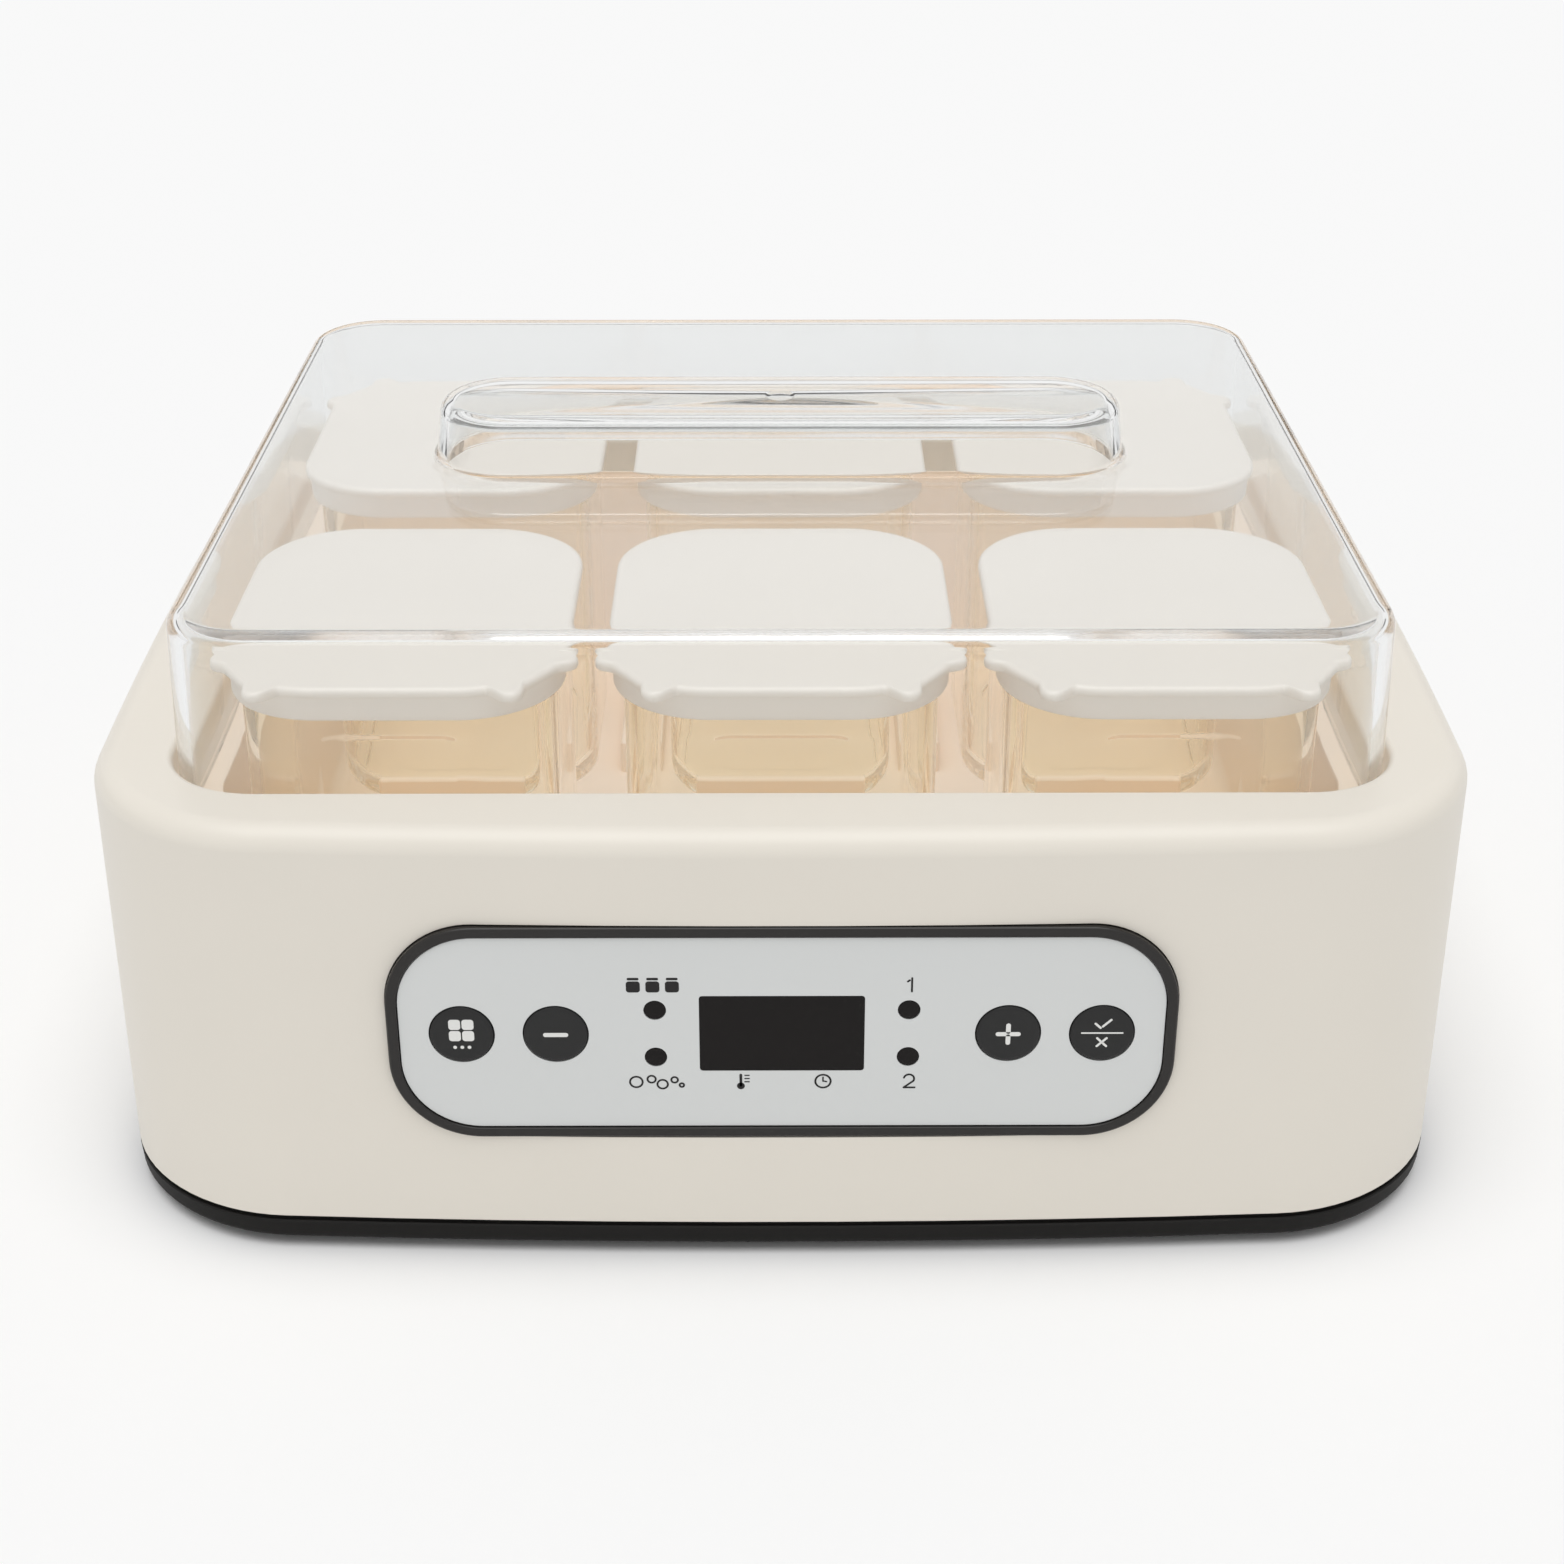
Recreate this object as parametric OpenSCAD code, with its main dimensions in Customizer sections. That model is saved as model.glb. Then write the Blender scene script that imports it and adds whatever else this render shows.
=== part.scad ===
// Yogurt maker: six lidded jars in a warm tub under a clear cover, with a control panel in front.
// Millimetres, +Z up, front towards -Y, origin on the surface it stands on, under its middle.

/* [Jars] */
// Width of a jar lid, across the appliance
lid_w = 65.4; // [60:0.2:74]
// Depth of a jar lid, front to back
lid_d = 75; // [68:0.5:86]
// Corner radius of a jar lid
lid_r = 20; // [12:0.5:24]
// Height of a jar lid over its skirt
lid_h = 7; // [5:0.5:10]
// Thickness of the top plate of a lid
lid_t = 2; // [1.2:0.1:2.6]
// Thickness of the skirt of a lid
skirt_t = 1.6; // [1:0.1:2]
// How far the plate of a lid stands out past its skirt
lid_brim = 1; // [0.4:0.1:1.6]
// Slack between a jar's neck and the skirt round it
lid_slack = 0.3; // [0.2:0.05:0.5]
// Radius of the small grip nubs at a lid's outer corners
nub_r = 2.2; // [1.4:0.1:2.6]
// Gap between neighbouring lids in a row
lid_gap = 7; // [6:0.5:12]
// Gap between the two rows of lids
row_gap = 22; // [20:1:32]
// Height of a jar, base to mouth
jar_h = 72.5; // [64:0.5:84]
// Wall thickness of a jar
jar_t = 2.2; // [1.6:0.1:3]
// Width of the raised field on a jar's front and back
field_w = 33; // [24:1:38]
// Distance from a jar's mouth down to its raised field
field_drop = 9; // [8:0.5:14]
// How far the raised field stands out
field_t = 0.5; // [0.3:0.1:0.8]

/* [Clear cover] */
// Wall thickness of the cover
cover_t = 2.5; // [2:0.1:3]
// Room between the end lids and the cover's side walls
side_room = 3.4; // [3.2:0.1:6]
// Room between the lids and the cover's front and back walls
end_room = 7.7; // [5:0.1:12]
// Free height between the lids and the cover's top
head_room = 12; // [12:0.5:20]
// Outer corner radius of the cover
cover_r = 16; // [12:0.5:24]
// Radius of the rounded edge round the cover's top
cover_edge_r = 5; // [3:0.5:7]
// How far each cover wall splays out down to its foot
cover_spread = 0.9; // [0.4:0.1:1.4]
// Length of the hollow grip bar moulded in the cover
bar_l = 140; // [100:1:160]
// Width of the grip bar
bar_w = 29; // [22:0.5:34]
// Height of the grip bar above the cover
bar_h = 11.9; // [9:0.1:16]
// Wall thickness of the grip bar
bar_t = 2.2; // [1.8:0.1:2.6]

/* [Body] */
// Width of the rim beside the opening
rim_side = 16.7; // [16:0.1:24]
// Width of the rim in front of and behind the opening
rim_end = 17.5; // [17:0.1:26]
// Height of the rim above the table
rim_z = 89.5; // [86:0.5:94]
// Depth of the ledge that carries the cover, below the rim
ledge_drop = 9.1; // [7:0.1:11]
// Gap between the cover's foot and the opening
opening_gap = 0.9; // [0.5:0.1:1.5]
// Corner radius of the body
body_r = 34; // [30:1:40]
// How far the side walls bow out
bow_x = 3; // [0:0.1:4]
// How far the front and back walls bow out
bow_y = 4.3; // [0:0.1:5]
// How far the walls splay out down to the base
flare = 0.5; // [0:0.1:1]
// Radius of the rounded outer edge of the rim
rim_edge_r = 4.5; // [3:0.5:6]
// Radius of the edge between rim and opening
lip_r = 1.2; // [0.6:0.1:2]
// Wall thickness of the outer shell
shell_t = 2.6; // [2:0.1:3]

/* [Tub] */
// Height of the tub floor above the table
floor_z = 30; // [28:0.5:34]
// Wall thickness of the tub
tub_t = 2; // [1.6:0.1:2.4]
// Room between the end jars and the tub's side walls
jar_room = 3.5; // [3:0.1:4.5]
// Room between the jars and the tub's front and back walls
jar_end_room = 4.5; // [3:0.1:6]
// Corner radius of the tub
tub_r = 14; // [8:0.5:16]
// Radius between the tub's floor and walls
tub_floor_r = 4; // [2:0.5:5]
// How far each tub wall leans in down to the floor
tub_lean = 1.5; // [0.5:0.1:1.8]
// Width of the flange that is screwed under the rim
flange_w = 8.5; // [8.5:0.1:9]
// Thickness of the flange
flange_t = 2.4; // [2:0.1:3]
// Height of the ribs that keep the jars apart
rib_h = 8; // [4:0.5:12]
// Thickness of those ribs
rib_t = 2; // [1.5:0.1:3]

/* [Base] */
// Height of the rubber feet that show below the base
foot_h = 1.5; // [1:0.1:2.5]
// Diameter of a rubber foot
foot_d = 14; // [10:0.5:18]
// Height of the dark base band
band_h = 5.7; // [4:0.1:7]
// Thickness of the base plate
base_t = 2.4; // [2:0.1:3]
// Diameter of the posts that join base and tub
post_d = 9; // [8:0.1:11]

/* [Control panel] */
// Width of the panel over its frame
panel_w = 142.9; // [138:0.1:150]
// Height of the panel over its frame
panel_h = 44.7; // [42:0.1:48]
// Corner radius of the panel
panel_r = 16.5; // [10:0.5:20]
// Height of the panel's centre above the table
panel_z = 49.1; // [46:0.1:52]
// Width of the dark frame round the label
frame_w = 2.1; // [1.5:0.1:3]
// Thickness of the printed label plate
label_t = 0.8; // [0.5:0.1:1]
// Thickness of the tray behind the label
tray_t = 2; // [1.6:0.1:2.4]
// Diameter of a push button
button_d = 11.7; // [9:0.1:13]
// Clearance round a push button
button_gap = 0.15; // [0.1:0.05:0.25]
// Distance of the inner buttons from the centre
button_inner = 40.9; // [34:0.1:44]
// Distance of the outer buttons from the centre
button_outer = 57.9; // [56:0.1:60]
// Travel of a push button
button_travel = 0.6; // [0.3:0.1:1]
// Width of the display window
window_w = 29.9; // [24:0.1:34]
// Height of the display window
window_h = 16; // [12:0.1:20]
// Diameter of an indicator lens
lens_d = 4; // [3:0.1:5]
// Distance of the indicators from the centre, sideways
lens_x = 22.9; // [21.5:0.1:26]
// Distance of the indicators from the centre, up and down
lens_z = 5; // [4:0.1:7]

/* [Electrics] */
// Thickness of the circuit boards
board_t = 1.6; // [1:0.1:2]
// Length of the heat spreader
plate_l = 150; // [110:1:156]
// Depth of the heat spreader
plate_d = 116; // [96:1:124]
// Thickness of the heat spreader
plate_t = 1.2; // [0.8:0.1:2]
// Diameter of the heating cord
cord_d = 3; // [2:0.1:3.6]
// Distance between passes of the heating cord
cord_pitch = 20; // [16:1:22]
// Distance of the mains inlet from the middle of the back
inlet_x = 66; // [50:1:76]
// Height of the mains inlet's centre above the table
inlet_z = 24; // [22:0.5:34]

/* [Hidden] */
$fn = 48;
eps = 0.01;

// Colours
cream = "#E6DFD3";
warm = "#DCC6A8";
black = "#2B2A29";
grey = "#CDD0D0";
green = "#2F6B45";
steel = "#B8BABC";
clear = [0.9, 0.92, 0.93, 0.35];

// Jars: a jar is as wide as its lid lets it be
skirt_in = 2 * (lid_brim + skirt_t);
jar_w = lid_w - skirt_in - 2 * lid_slack;
jar_d = lid_d - skirt_in - 2 * lid_slack;
jar_r = lid_r - lid_brim - skirt_t - lid_slack;
foot_step = [tub_floor_r - 1.5, tub_floor_r / 2];
column = lid_w + lid_gap;
row = (lid_d + row_gap) / 2;
mouth_z = floor_z + jar_h;
lid_top = mouth_z + lid_t;

// Cover
cover_w = 3 * lid_w + 2 * lid_gap + 2 * (side_room + cover_t);
cover_d = 2 * lid_d + row_gap + 2 * (end_room + cover_t);
cover_top = lid_top + head_room + cover_t;
ledge_z = rim_z - ledge_drop;
cover_h = cover_top - ledge_z;
bar_lean = 1.4;
bar_edge_r = 2.4;

// Body
open_w = cover_w + 2 * (cover_spread + opening_gap);
open_d = cover_d + 2 * (cover_spread + opening_gap);
open_r = cover_r + cover_spread + opening_gap;
body_w = open_w + 2 * rim_side;
body_d = open_d + 2 * rim_end;
band_top = foot_h + band_h;
front_y = -body_d / 2 - flare;

// Tub
tub_w = 2 * (column + jar_w / 2 + jar_room);
tub_d = 2 * (row + jar_d / 2 + field_t + jar_end_room);
under_floor = floor_z - tub_t;

// Screws: thread bore, shank, head
screw_d = 2.9;
pilot_d = 2.9;
head_d = 5.6;
head_h = 1.9;
boss_d = 6.6;
boss_off = shell_t + boss_d / 2 + 0.3;
boss_x = open_w / 2 + boss_off;
boss_y = open_d / 2 + boss_off;
tub_screw_at = [for (s = [-1, 1]) each [[s * boss_x, -row], [s * boss_x, row],
    [-column, s * boss_y], [column, s * boss_y]]];
tub_screw_l = flange_t + 5;
post_x = plate_l / 2 + post_d / 2 + 2;
post_y = plate_d / 2 + post_d / 2 + 1;
post_at = [for (sx = [-1, 1]) for (sy = [-1, 1]) [sx * post_x, sy * post_y]];
post_foot = foot_h + 6;
base_screw_l = post_foot - foot_h - head_h + 10;
foot_at = [for (sx = [-1, 1]) for (sy = [-1, 1]) [sx * (body_w / 2 - 28), sy * (body_d / 2 - 26)]];
foot_sink = 1;

// Control panel, from front to back
panel_y = front_y;
label_y = panel_y + 0.5;
tray_y = label_y + label_t;
tray_back = tray_y + tray_t;
bezel_depth = 8;
switch_h = 3.6;
stem_l = 3;
key_flange_t = 1;
board_y = tray_back + key_flange_t + stem_l + button_travel + 0.2 + switch_h;
board_w = 2 * button_outer + 10;
board_h = 30;
board_post_x = (button_inner + lens_x) / 2;
label_gap = 0.15;
lens_gap = 0.05;

// Power electrics
base_floor = foot_h + base_t;
power_w = 66;
power_d = 42;
power_x = -10;
power_y = 34;
power_z = base_floor + 4;
power_top = power_z + board_t;
power_hole = [power_w / 2 - 4, power_d / 2 - 4];
power_head_d = 4.4;
header_w = 12;
header_h = 5;
header_x = power_x + power_hole[0] - (power_head_d + header_w) / 2 - 0.8;
cord_z = under_floor - plate_t - cord_d / 2 - 0.1;
cord_runs = 6;
cord_half = 56;
inlet_w = 19;
inlet_h = 11;
inlet_depth = 15;
pin_d = 2.2;
pin_x = 4.3;
inlet_back = body_d / 2 + flare - bow_y * pow(2 * inlet_x / body_w, 2);
corner_steps = 7;
side_steps = 3;

// Outlines and skins

// Points of a rounded rectangle, anticlockwise, with a few points along each side
function corner_at(i, w, d, r) =
    [(i == 0 || i == 3 ? 1 : -1) * (w / 2 - r), (i < 2 ? 1 : -1) * (d / 2 - r)];
function arc_point(i, a, w, d, r) = corner_at(i, w, d, r) + r * [cos(90 * i + a), sin(90 * i + a)];
function outline(w, d, r) = [for (i = [0:3]) each concat(
    [for (k = [0:corner_steps]) arc_point(i, 90 * k / corner_steps, w, d, r)],
    let (a = arc_point(i, 90, w, d, r), b = arc_point((i + 1) % 4, 0, w, d, r))
    [for (k = [1:side_steps]) a + (b - a) * k / (side_steps + 1)])];

// The same outline at height z with its sides bowed out
function ring(w, d, r, z, bx = 0, by = 0) = [for (p = outline(w, d, r))
    [p.x * (1 - 2 * bx / w * pow(2 * p.y / d, 2)), p.y * (1 - 2 * by / d * pow(2 * p.x / w, 2)), z]];

function body_ring(inset, z) = let (f = flare * (rim_z - z) / (rim_z - band_top) - inset)
    ring(body_w + 2 * f, body_d + 2 * f, body_r - inset, z, bow_x, bow_y);
function open_ring(grow, z) = ring(open_w + 2 * grow, open_d + 2 * grow, open_r + grow, z);
function tub_ring(grow, z) = let (g = grow - tub_lean * (ledge_z - z) / (ledge_z - floor_z))
    ring(tub_w + 2 * g, tub_d + 2 * g, tub_r + grow, z);
function cover_ring(inset, z) = let (s = cover_spread * (cover_top - z) / cover_h - inset)
    ring(cover_w + 2 * s, cover_d + 2 * s, max(cover_r - inset, 2), z);
function bar_ring(inset, z) = let (s = bar_lean * (cover_top + bar_h - z) / bar_h - inset)
    ring(bar_l + 2 * s, bar_w + 2 * s, bar_w / 2 + s - 0.4, z);

// Quarter round from a wall to a top: [inset, rise]
function quarter(r, n = 5) = [for (k = [0:n]) [r * (1 - cos(90 * k / n)), r * sin(90 * k / n)]];
function reversed(list) = [for (i = [len(list) - 1:-1:0]) list[i]];

function middle(points) = let (ones = [for (p = points) 1])
    [for (c = [0:2]) [for (p = points) p[c]] * ones / len(points)];

// A closed skin over equal rings, capped at its ends or running round to its first ring
module skin(rings, round = false) {
    n = len(rings[0]);
    m = len(rings);
    last = round ? m - 1 : m - 2;
    sides = [for (j = [0:last]) for (i = [0:n - 1])
        let (a = j * n + i, b = j * n + (i + 1) % n, up = (j + 1) % m * n)
        each [[a, up + (i + 1) % n, b], [a, up + i, up + (i + 1) % n]]];
    caps = round ? [] : [for (i = [0:n - 1]) let (next = (i + 1) % n, top = (m - 1) * n)
        each [[i, next, m * n], [top + next, top + i, m * n + 1]]];
    ends = round ? [] : [middle(rings[0]), middle(rings[m - 1])];
    polyhedron(concat([for (r = rings) each r], ends),
        concat(sides, caps), convexity = 8);
}

// Plain shapes

module rounded(w, d, r) {
    square([w - 2 * r, d], center = true);
    square([w, d - 2 * r], center = true);
    for (sx = [-1, 1]) for (sy = [-1, 1]) translate([sx * (w / 2 - r), sy * (d / 2 - r)]) circle(r);
}

// A rounded plate standing across Y, from y0 to y1, centred on the panel
module panel_plate(w, h, r, y0, y1) {
    translate([0, y1, panel_z]) rotate([90, 0, 0]) linear_extrude(y1 - y0) rounded(w, h, r);
}

// A round bar along Y, from y0 to y1, at x and at z above the panel's centre
module panel_pin(x, z, d, y0, y1) {
    translate([x, y1, panel_z + z]) rotate([90, 0, 0]) cylinder(d = d, h = y1 - y0);
}

module pan_screw(shank) {
    translate([0, 0, -head_h]) cylinder(d = head_d, h = head_h);
    cylinder(d = screw_d, h = shank);
}

// A wire along a smooth curve from a to b that leaves along ta and arrives along tb
function curve(a, ta, b, tb, t) = a * pow(1 - t, 3) + 3 * (a + ta) * pow(1 - t, 2) * t
    + 3 * (b - tb) * (1 - t) * pow(t, 2) + b * pow(t, 3);
function heading(a, ta, b, tb, t) = let (v = (a + ta - a) * pow(1 - t, 2)
    + 2 * (b - tb - a - ta) * (1 - t) * t + tb * pow(t, 2)) v / norm(v);
module wire(a, ta, b, tb, size, up = [0, 0, 1], n = 12, sides = 8) {
    rings = [for (k = [0:n]) let (t = k / n, c = curve(a, ta, b, tb, t), h = heading(a, ta, b, tb, t),
        x = cross(h, up) / norm(cross(h, up)), y = cross(x, h))
        [for (i = [0:sides - 1]) let (w = 360 * (i + 0.5) / sides)
            c + x * cos(w) * size[0] / 2 - y * sin(w) * size[1] / 2]];
    skin(reversed(rings));
}

// Housing

module panel_hole(grow, y0, y1) {
    panel_plate(panel_w + 2 * grow, panel_h + 2 * grow, panel_r + grow, y0, y1);
}

module outer_shell() {
    color(cream) difference() {
        union() {
            skin(concat(
                [body_ring(0, band_top)],
                [for (q = quarter(rim_edge_r)) body_ring(q[0], rim_z - rim_edge_r + q[1])],
                [for (q = reversed(quarter(lip_r, 3))) open_ring(q[0], rim_z - lip_r + q[1])],
                [open_ring(0, ledge_z), open_ring(shell_t, ledge_z), open_ring(shell_t, rim_z - shell_t),
                    body_ring(shell_t + 1.5, rim_z - shell_t), body_ring(shell_t, rim_z - shell_t - 1.5),
                    body_ring(shell_t, band_top)]), round = true);
            for (p = tub_screw_at) translate([p.x, p.y, ledge_z])
                cylinder(d = boss_d, h = rim_z - shell_t / 2 - ledge_z);
        }
        for (p = tub_screw_at) translate([p.x, p.y, ledge_z - eps]) cylinder(d = pilot_d, h = 6);
        panel_hole(0.2, front_y - 5, front_y + 12);
        translate([inlet_x, 0, inlet_z]) rotate([-90, 0, 0])
            linear_extrude(body_d) rounded(inlet_w + 0.4, inlet_h + 0.4, 2.2);
    }
}

module inner_tub() {
    color(warm) {
        difference() {
            union() {
                skin(concat(
                    reversed([for (q = quarter(tub_floor_r)) tub_ring(tub_t - q[0],
                        under_floor + tub_floor_r - q[1])]),
                    [tub_ring(tub_t, ledge_z - flange_t), open_ring(flange_w, ledge_z - flange_t),
                        open_ring(flange_w, ledge_z), tub_ring(1, ledge_z), tub_ring(0, ledge_z - 1)],
                    [for (q = quarter(tub_floor_r)) tub_ring(-q[0], floor_z + tub_floor_r - q[1])]));
                for (p = post_at) translate([p.x, p.y, post_foot])
                    cylinder(d = post_d, h = under_floor + tub_t / 2 - post_foot);
            }
            for (p = tub_screw_at) translate([p.x, p.y, ledge_z - flange_t - 1])
                cylinder(d = screw_d, h = flange_t + 2);
            for (p = post_at) translate([p.x, p.y, post_foot - 1]) cylinder(d = pilot_d, h = 12);
        }
        for (s = [-1, 1]) {
            for (side = [-1, 1]) translate([s * column / 2, side * row, floor_z])
                linear_extrude(rib_h) square([rib_t, jar_d * 0.6], center = true);
            for (i = [-1:1]) translate([i * column, s * (row_gap / 2 - rib_t / 2), floor_z])
                linear_extrude(rib_h) square([jar_w * 0.6, rib_t], center = true);
        }
    }
}

module base_cover() {
    tongue = shell_t + 0.3;
    color(black) difference() {
        union() {
            skin([body_ring(3, foot_h), body_ring(1.4, foot_h + 0.5), body_ring(0.2, foot_h + 2),
                body_ring(0, band_top - 0.9), body_ring(0.8, band_top - 0.9), body_ring(0.8, band_top),
                body_ring(tongue, band_top), body_ring(tongue, band_top + 4),
                body_ring(tongue + 1.8, band_top + 4), body_ring(tongue + 1.8, base_floor + 1),
                body_ring(tongue + 2.8, base_floor)]);
            for (p = post_at) translate([p.x, p.y, foot_h + 0.1])
                cylinder(d = post_d + 3, h = post_foot - foot_h - 0.1);
            for (sx = [-1, 1]) for (sy = [-1, 1])
                translate([power_x + sx * power_hole[0], power_y + sy * power_hole[1], foot_h + 0.1])
                    cylinder(d = 6, h = power_z - foot_h - 0.1);
        }
        for (p = post_at) {
            translate([p.x, p.y, foot_h - 1]) cylinder(d = screw_d, h = post_foot);
            translate([p.x, p.y, foot_h - 1]) cylinder(d = head_d + 1, h = head_h + 1.4 + eps);
        }
        for (sx = [-1, 1]) for (sy = [-1, 1])
            translate([power_x + sx * power_hole[0], power_y + sy * power_hole[1], foot_h + 1])
                cylinder(d = 2.2, h = power_z);
        for (p = foot_at) translate([p.x, p.y, foot_h - 1]) cylinder(d = foot_d, h = 1 + foot_sink);
        for (i = [-4:4]) translate([i * 9, -row, 0]) linear_extrude(base_floor + 1)
            rounded(3, 34, 1.49);
    }
}

module rubber_feet() {
    color("#3A3938") for (p = foot_at) translate([p.x, p.y, 0]) rotate_extrude()
        polygon([[0, 0], [foot_d / 2 - 0.8, 0], [foot_d / 2 - 0.2, 0.6],
            [foot_d / 2 - 0.1, foot_h + foot_sink], [0, foot_h + foot_sink]]);
}

module base_screws() {
    color(steel) for (p = post_at) translate([p.x, p.y, foot_h + head_h + 0.4]) pan_screw(base_screw_l);
}

module tub_screws() {
    color(steel) for (p = tub_screw_at) translate([p.x, p.y, ledge_z - flange_t]) pan_screw(tub_screw_l);
}

// Control panel

button_at = [-button_outer, -button_inner, button_inner, button_outer];
lens_at = [for (sx = [-1, 1]) for (sz = [-1, 1]) [sx * lens_x, sz * lens_z]];
board_post_at = [for (sx = [-1, 1]) for (sz = [-1, 1]) [sx * board_post_x, sz * (board_h / 2 - 4)]];

module panel_bezel() {
    color(black) difference() {
        union() {
            difference() {
                panel_plate(panel_w, panel_h, panel_r, panel_y, panel_y + bezel_depth);
                panel_plate(panel_w - 2 * frame_w, panel_h - 2 * frame_w, panel_r - frame_w,
                    panel_y - 1, tray_y);
                panel_plate(panel_w - 4, panel_h - 4, panel_r - 2, tray_back, panel_y + bezel_depth + 1);
            }
            for (p = board_post_at) panel_pin(p[0], p[1], 5, tray_back - 0.5, board_y);
        }
        for (x = button_at) panel_pin(x, 0, button_d + 2 * button_gap, tray_y - 1, tray_back + 1);
        for (p = lens_at) panel_pin(p[0], p[1], lens_d + 2 * lens_gap, tray_y - 1, tray_back + 1);
        for (p = board_post_at) panel_pin(p[0], p[1], 1.8, board_y - 5, board_y + 1);
        panel_plate(window_w, window_h, 0.6, tray_y - 1, tray_back + 1);
    }
}

module panel_label() {
    color(grey) difference() {
        panel_plate(panel_w - 2 * frame_w - 2 * label_gap, panel_h - 2 * frame_w - 2 * label_gap,
            panel_r - frame_w - label_gap, label_y, tray_y);
        for (x = button_at) panel_pin(x, 0, button_d + 2 * button_gap, label_y - 1, tray_y + 1);
        for (p = lens_at) panel_pin(p[0], p[1], lens_d + 2 * lens_gap, label_y - 1, tray_y + 1);
        panel_plate(window_w, window_h, 0.6, label_y - 1, tray_y + 1);
    }
}

module display_window() {
    color("#2A2523") panel_plate(window_w, window_h, 0.6, label_y, tray_y + 1);
}

module display_module() {
    color("#3A3836") panel_plate(window_w, window_h, 0.6, tray_y + 1, board_y);
}

module button(x) {
    color("#232221") {
        panel_pin(x, 0, button_d, label_y - 0.3, tray_back + 0.1);
        panel_pin(x, 0, button_d + 2, tray_back, tray_back + key_flange_t);
        panel_pin(x, 0, 4, tray_back + key_flange_t - 0.1, tray_back + key_flange_t + stem_l);
    }
}

module indicator_lenses() {
    color("#1F1E1D") for (p = lens_at) panel_pin(p[0], p[1], lens_d, label_y, tray_back + 1);
}

module indicator_leds() {
    color("#D9D2C2") for (p = lens_at) panel_pin(p[0], p[1], 3, tray_back + 1, board_y);
}

module control_board() {
    color(green) difference() {
        panel_plate(board_w, board_h, 2, board_y, board_y + board_t);
        for (p = board_post_at) panel_pin(p[0], p[1], 2.2, board_y - 1, board_y + board_t + 1);
    }
}

module tact_switches() {
    for (x = button_at) {
        color("#30302F") translate([x, board_y - 1.25, panel_z]) cube([6, 2.5, 6], center = true);
        color(steel) panel_pin(x, 0, 3.2, board_y - switch_h, board_y - 2.4);
    }
}

module panel_screws() {
    color(steel) for (p = board_post_at) translate([p[0], board_y + board_t, panel_z + p[1]]) {
        rotate([-90, 0, 0]) cylinder(d = 4, h = 1.4);
        rotate([90, 0, 0]) cylinder(d = 1.8, h = board_t + 5 - eps);
    }
}

// Heater under the tub

module heat_plate() {
    color("#C6C8CA") translate([0, 0, under_floor - plate_t])
        linear_extrude(plate_t) rounded(plate_l, plate_d, 6);
}

function run_y(i) = (i - (cord_runs - 1) / 2) * cord_pitch;

module heating_cord() {
    color("#B5483A") for (i = [0:cord_runs - 1]) {
        translate([-cord_half, run_y(i), cord_z]) rotate([0, 90, 0]) cylinder(d = cord_d, h = 2 * cord_half);
        if (i < cord_runs - 1) let (s = i % 2 == 0 ? 1 : -1)
            translate([s * cord_half, run_y(i) + cord_pitch / 2, cord_z]) rotate([0, 0, s > 0 ? -90 : 90])
                rotate_extrude(angle = 180) translate([cord_pitch / 2, 0]) circle(d = cord_d);
    }
}

// Folded straps that hold the cord against the spreader
module cord_clips() {
    strap = 1;
    foot = 4;
    color("#C6C8CA") for (x = [-cord_half * 0.6, cord_half * 0.6]) for (i = [0:cord_runs - 1])
        translate([x, run_y(i), under_floor - plate_t]) rotate([90, 0, 90]) linear_extrude(8, center = true)
            difference() {
                polygon([[-cord_d / 2 - foot, 0], [cord_d / 2 + foot, 0], [cord_d / 2 + foot, -strap],
                    [cord_d / 2 + strap + 0.2, -strap], [cord_d / 2 + strap + 0.2, -cord_d - strap - 0.2],
                    [-cord_d / 2 - strap - 0.2, -cord_d - strap - 0.2], [-cord_d / 2 - strap - 0.2, -strap],
                    [-cord_d / 2 - foot, -strap]]);
                translate([-cord_d / 2 - 0.1, -cord_d - 0.2]) square([cord_d + 0.2, cord_d + 1]);
            }
}

module temperature_sensor() {
    color("#C9A24B") translate([0, 0, under_floor - plate_t - 6]) {
        cylinder(d = 5, h = 6);
        translate([0, 0, 4.6]) cylinder(d = 9, h = 1.4);
    }
}

module thermal_fuse() {
    fuse_z = under_floor - plate_t - 2.1;
    color("#D8D4C8") translate([cord_half / 2, 0, fuse_z])
        rotate([0, 90, 0]) cylinder(d = 4, h = 12, center = true);
    color(steel) for (s = [-1, 1]) translate([cord_half / 2 + s * 9, 0, fuse_z])
        rotate([0, 90, 0]) cylinder(d = 1, h = 6.2, center = true);
}

// Power supply on the base

module power_board() {
    color(green) translate([power_x, power_y, power_z]) linear_extrude(board_t) difference() {
        square([power_w, power_d], center = true);
        for (sx = [-1, 1]) for (sy = [-1, 1])
            translate([sx * power_hole[0], sy * power_hole[1]]) circle(d = 2.6);
    }
}

module power_screws() {
    color(steel) for (sx = [-1, 1]) for (sy = [-1, 1])
        translate([power_x + sx * power_hole[0], power_y + sy * power_hole[1], power_top]) {
            cylinder(d = power_head_d, h = 1.6);
            translate([0, 0, -board_t - 4]) cylinder(d = 2.2, h = board_t + 4);
        }
}

module power_transformer() {
    translate([feed_x + 15, power_y, power_top]) {
        color("#4A4744") linear_extrude(10) square([18, 7], center = true);
        color("#D9B84A") translate([0, 0, 1.5]) linear_extrude(7) square([12, 15], center = true);
    }
}

module filter_capacitor() {
    color("#27364F") translate([power_x + 3, power_y - 8, power_top]) cylinder(d = 10, h = 11);
}

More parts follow.
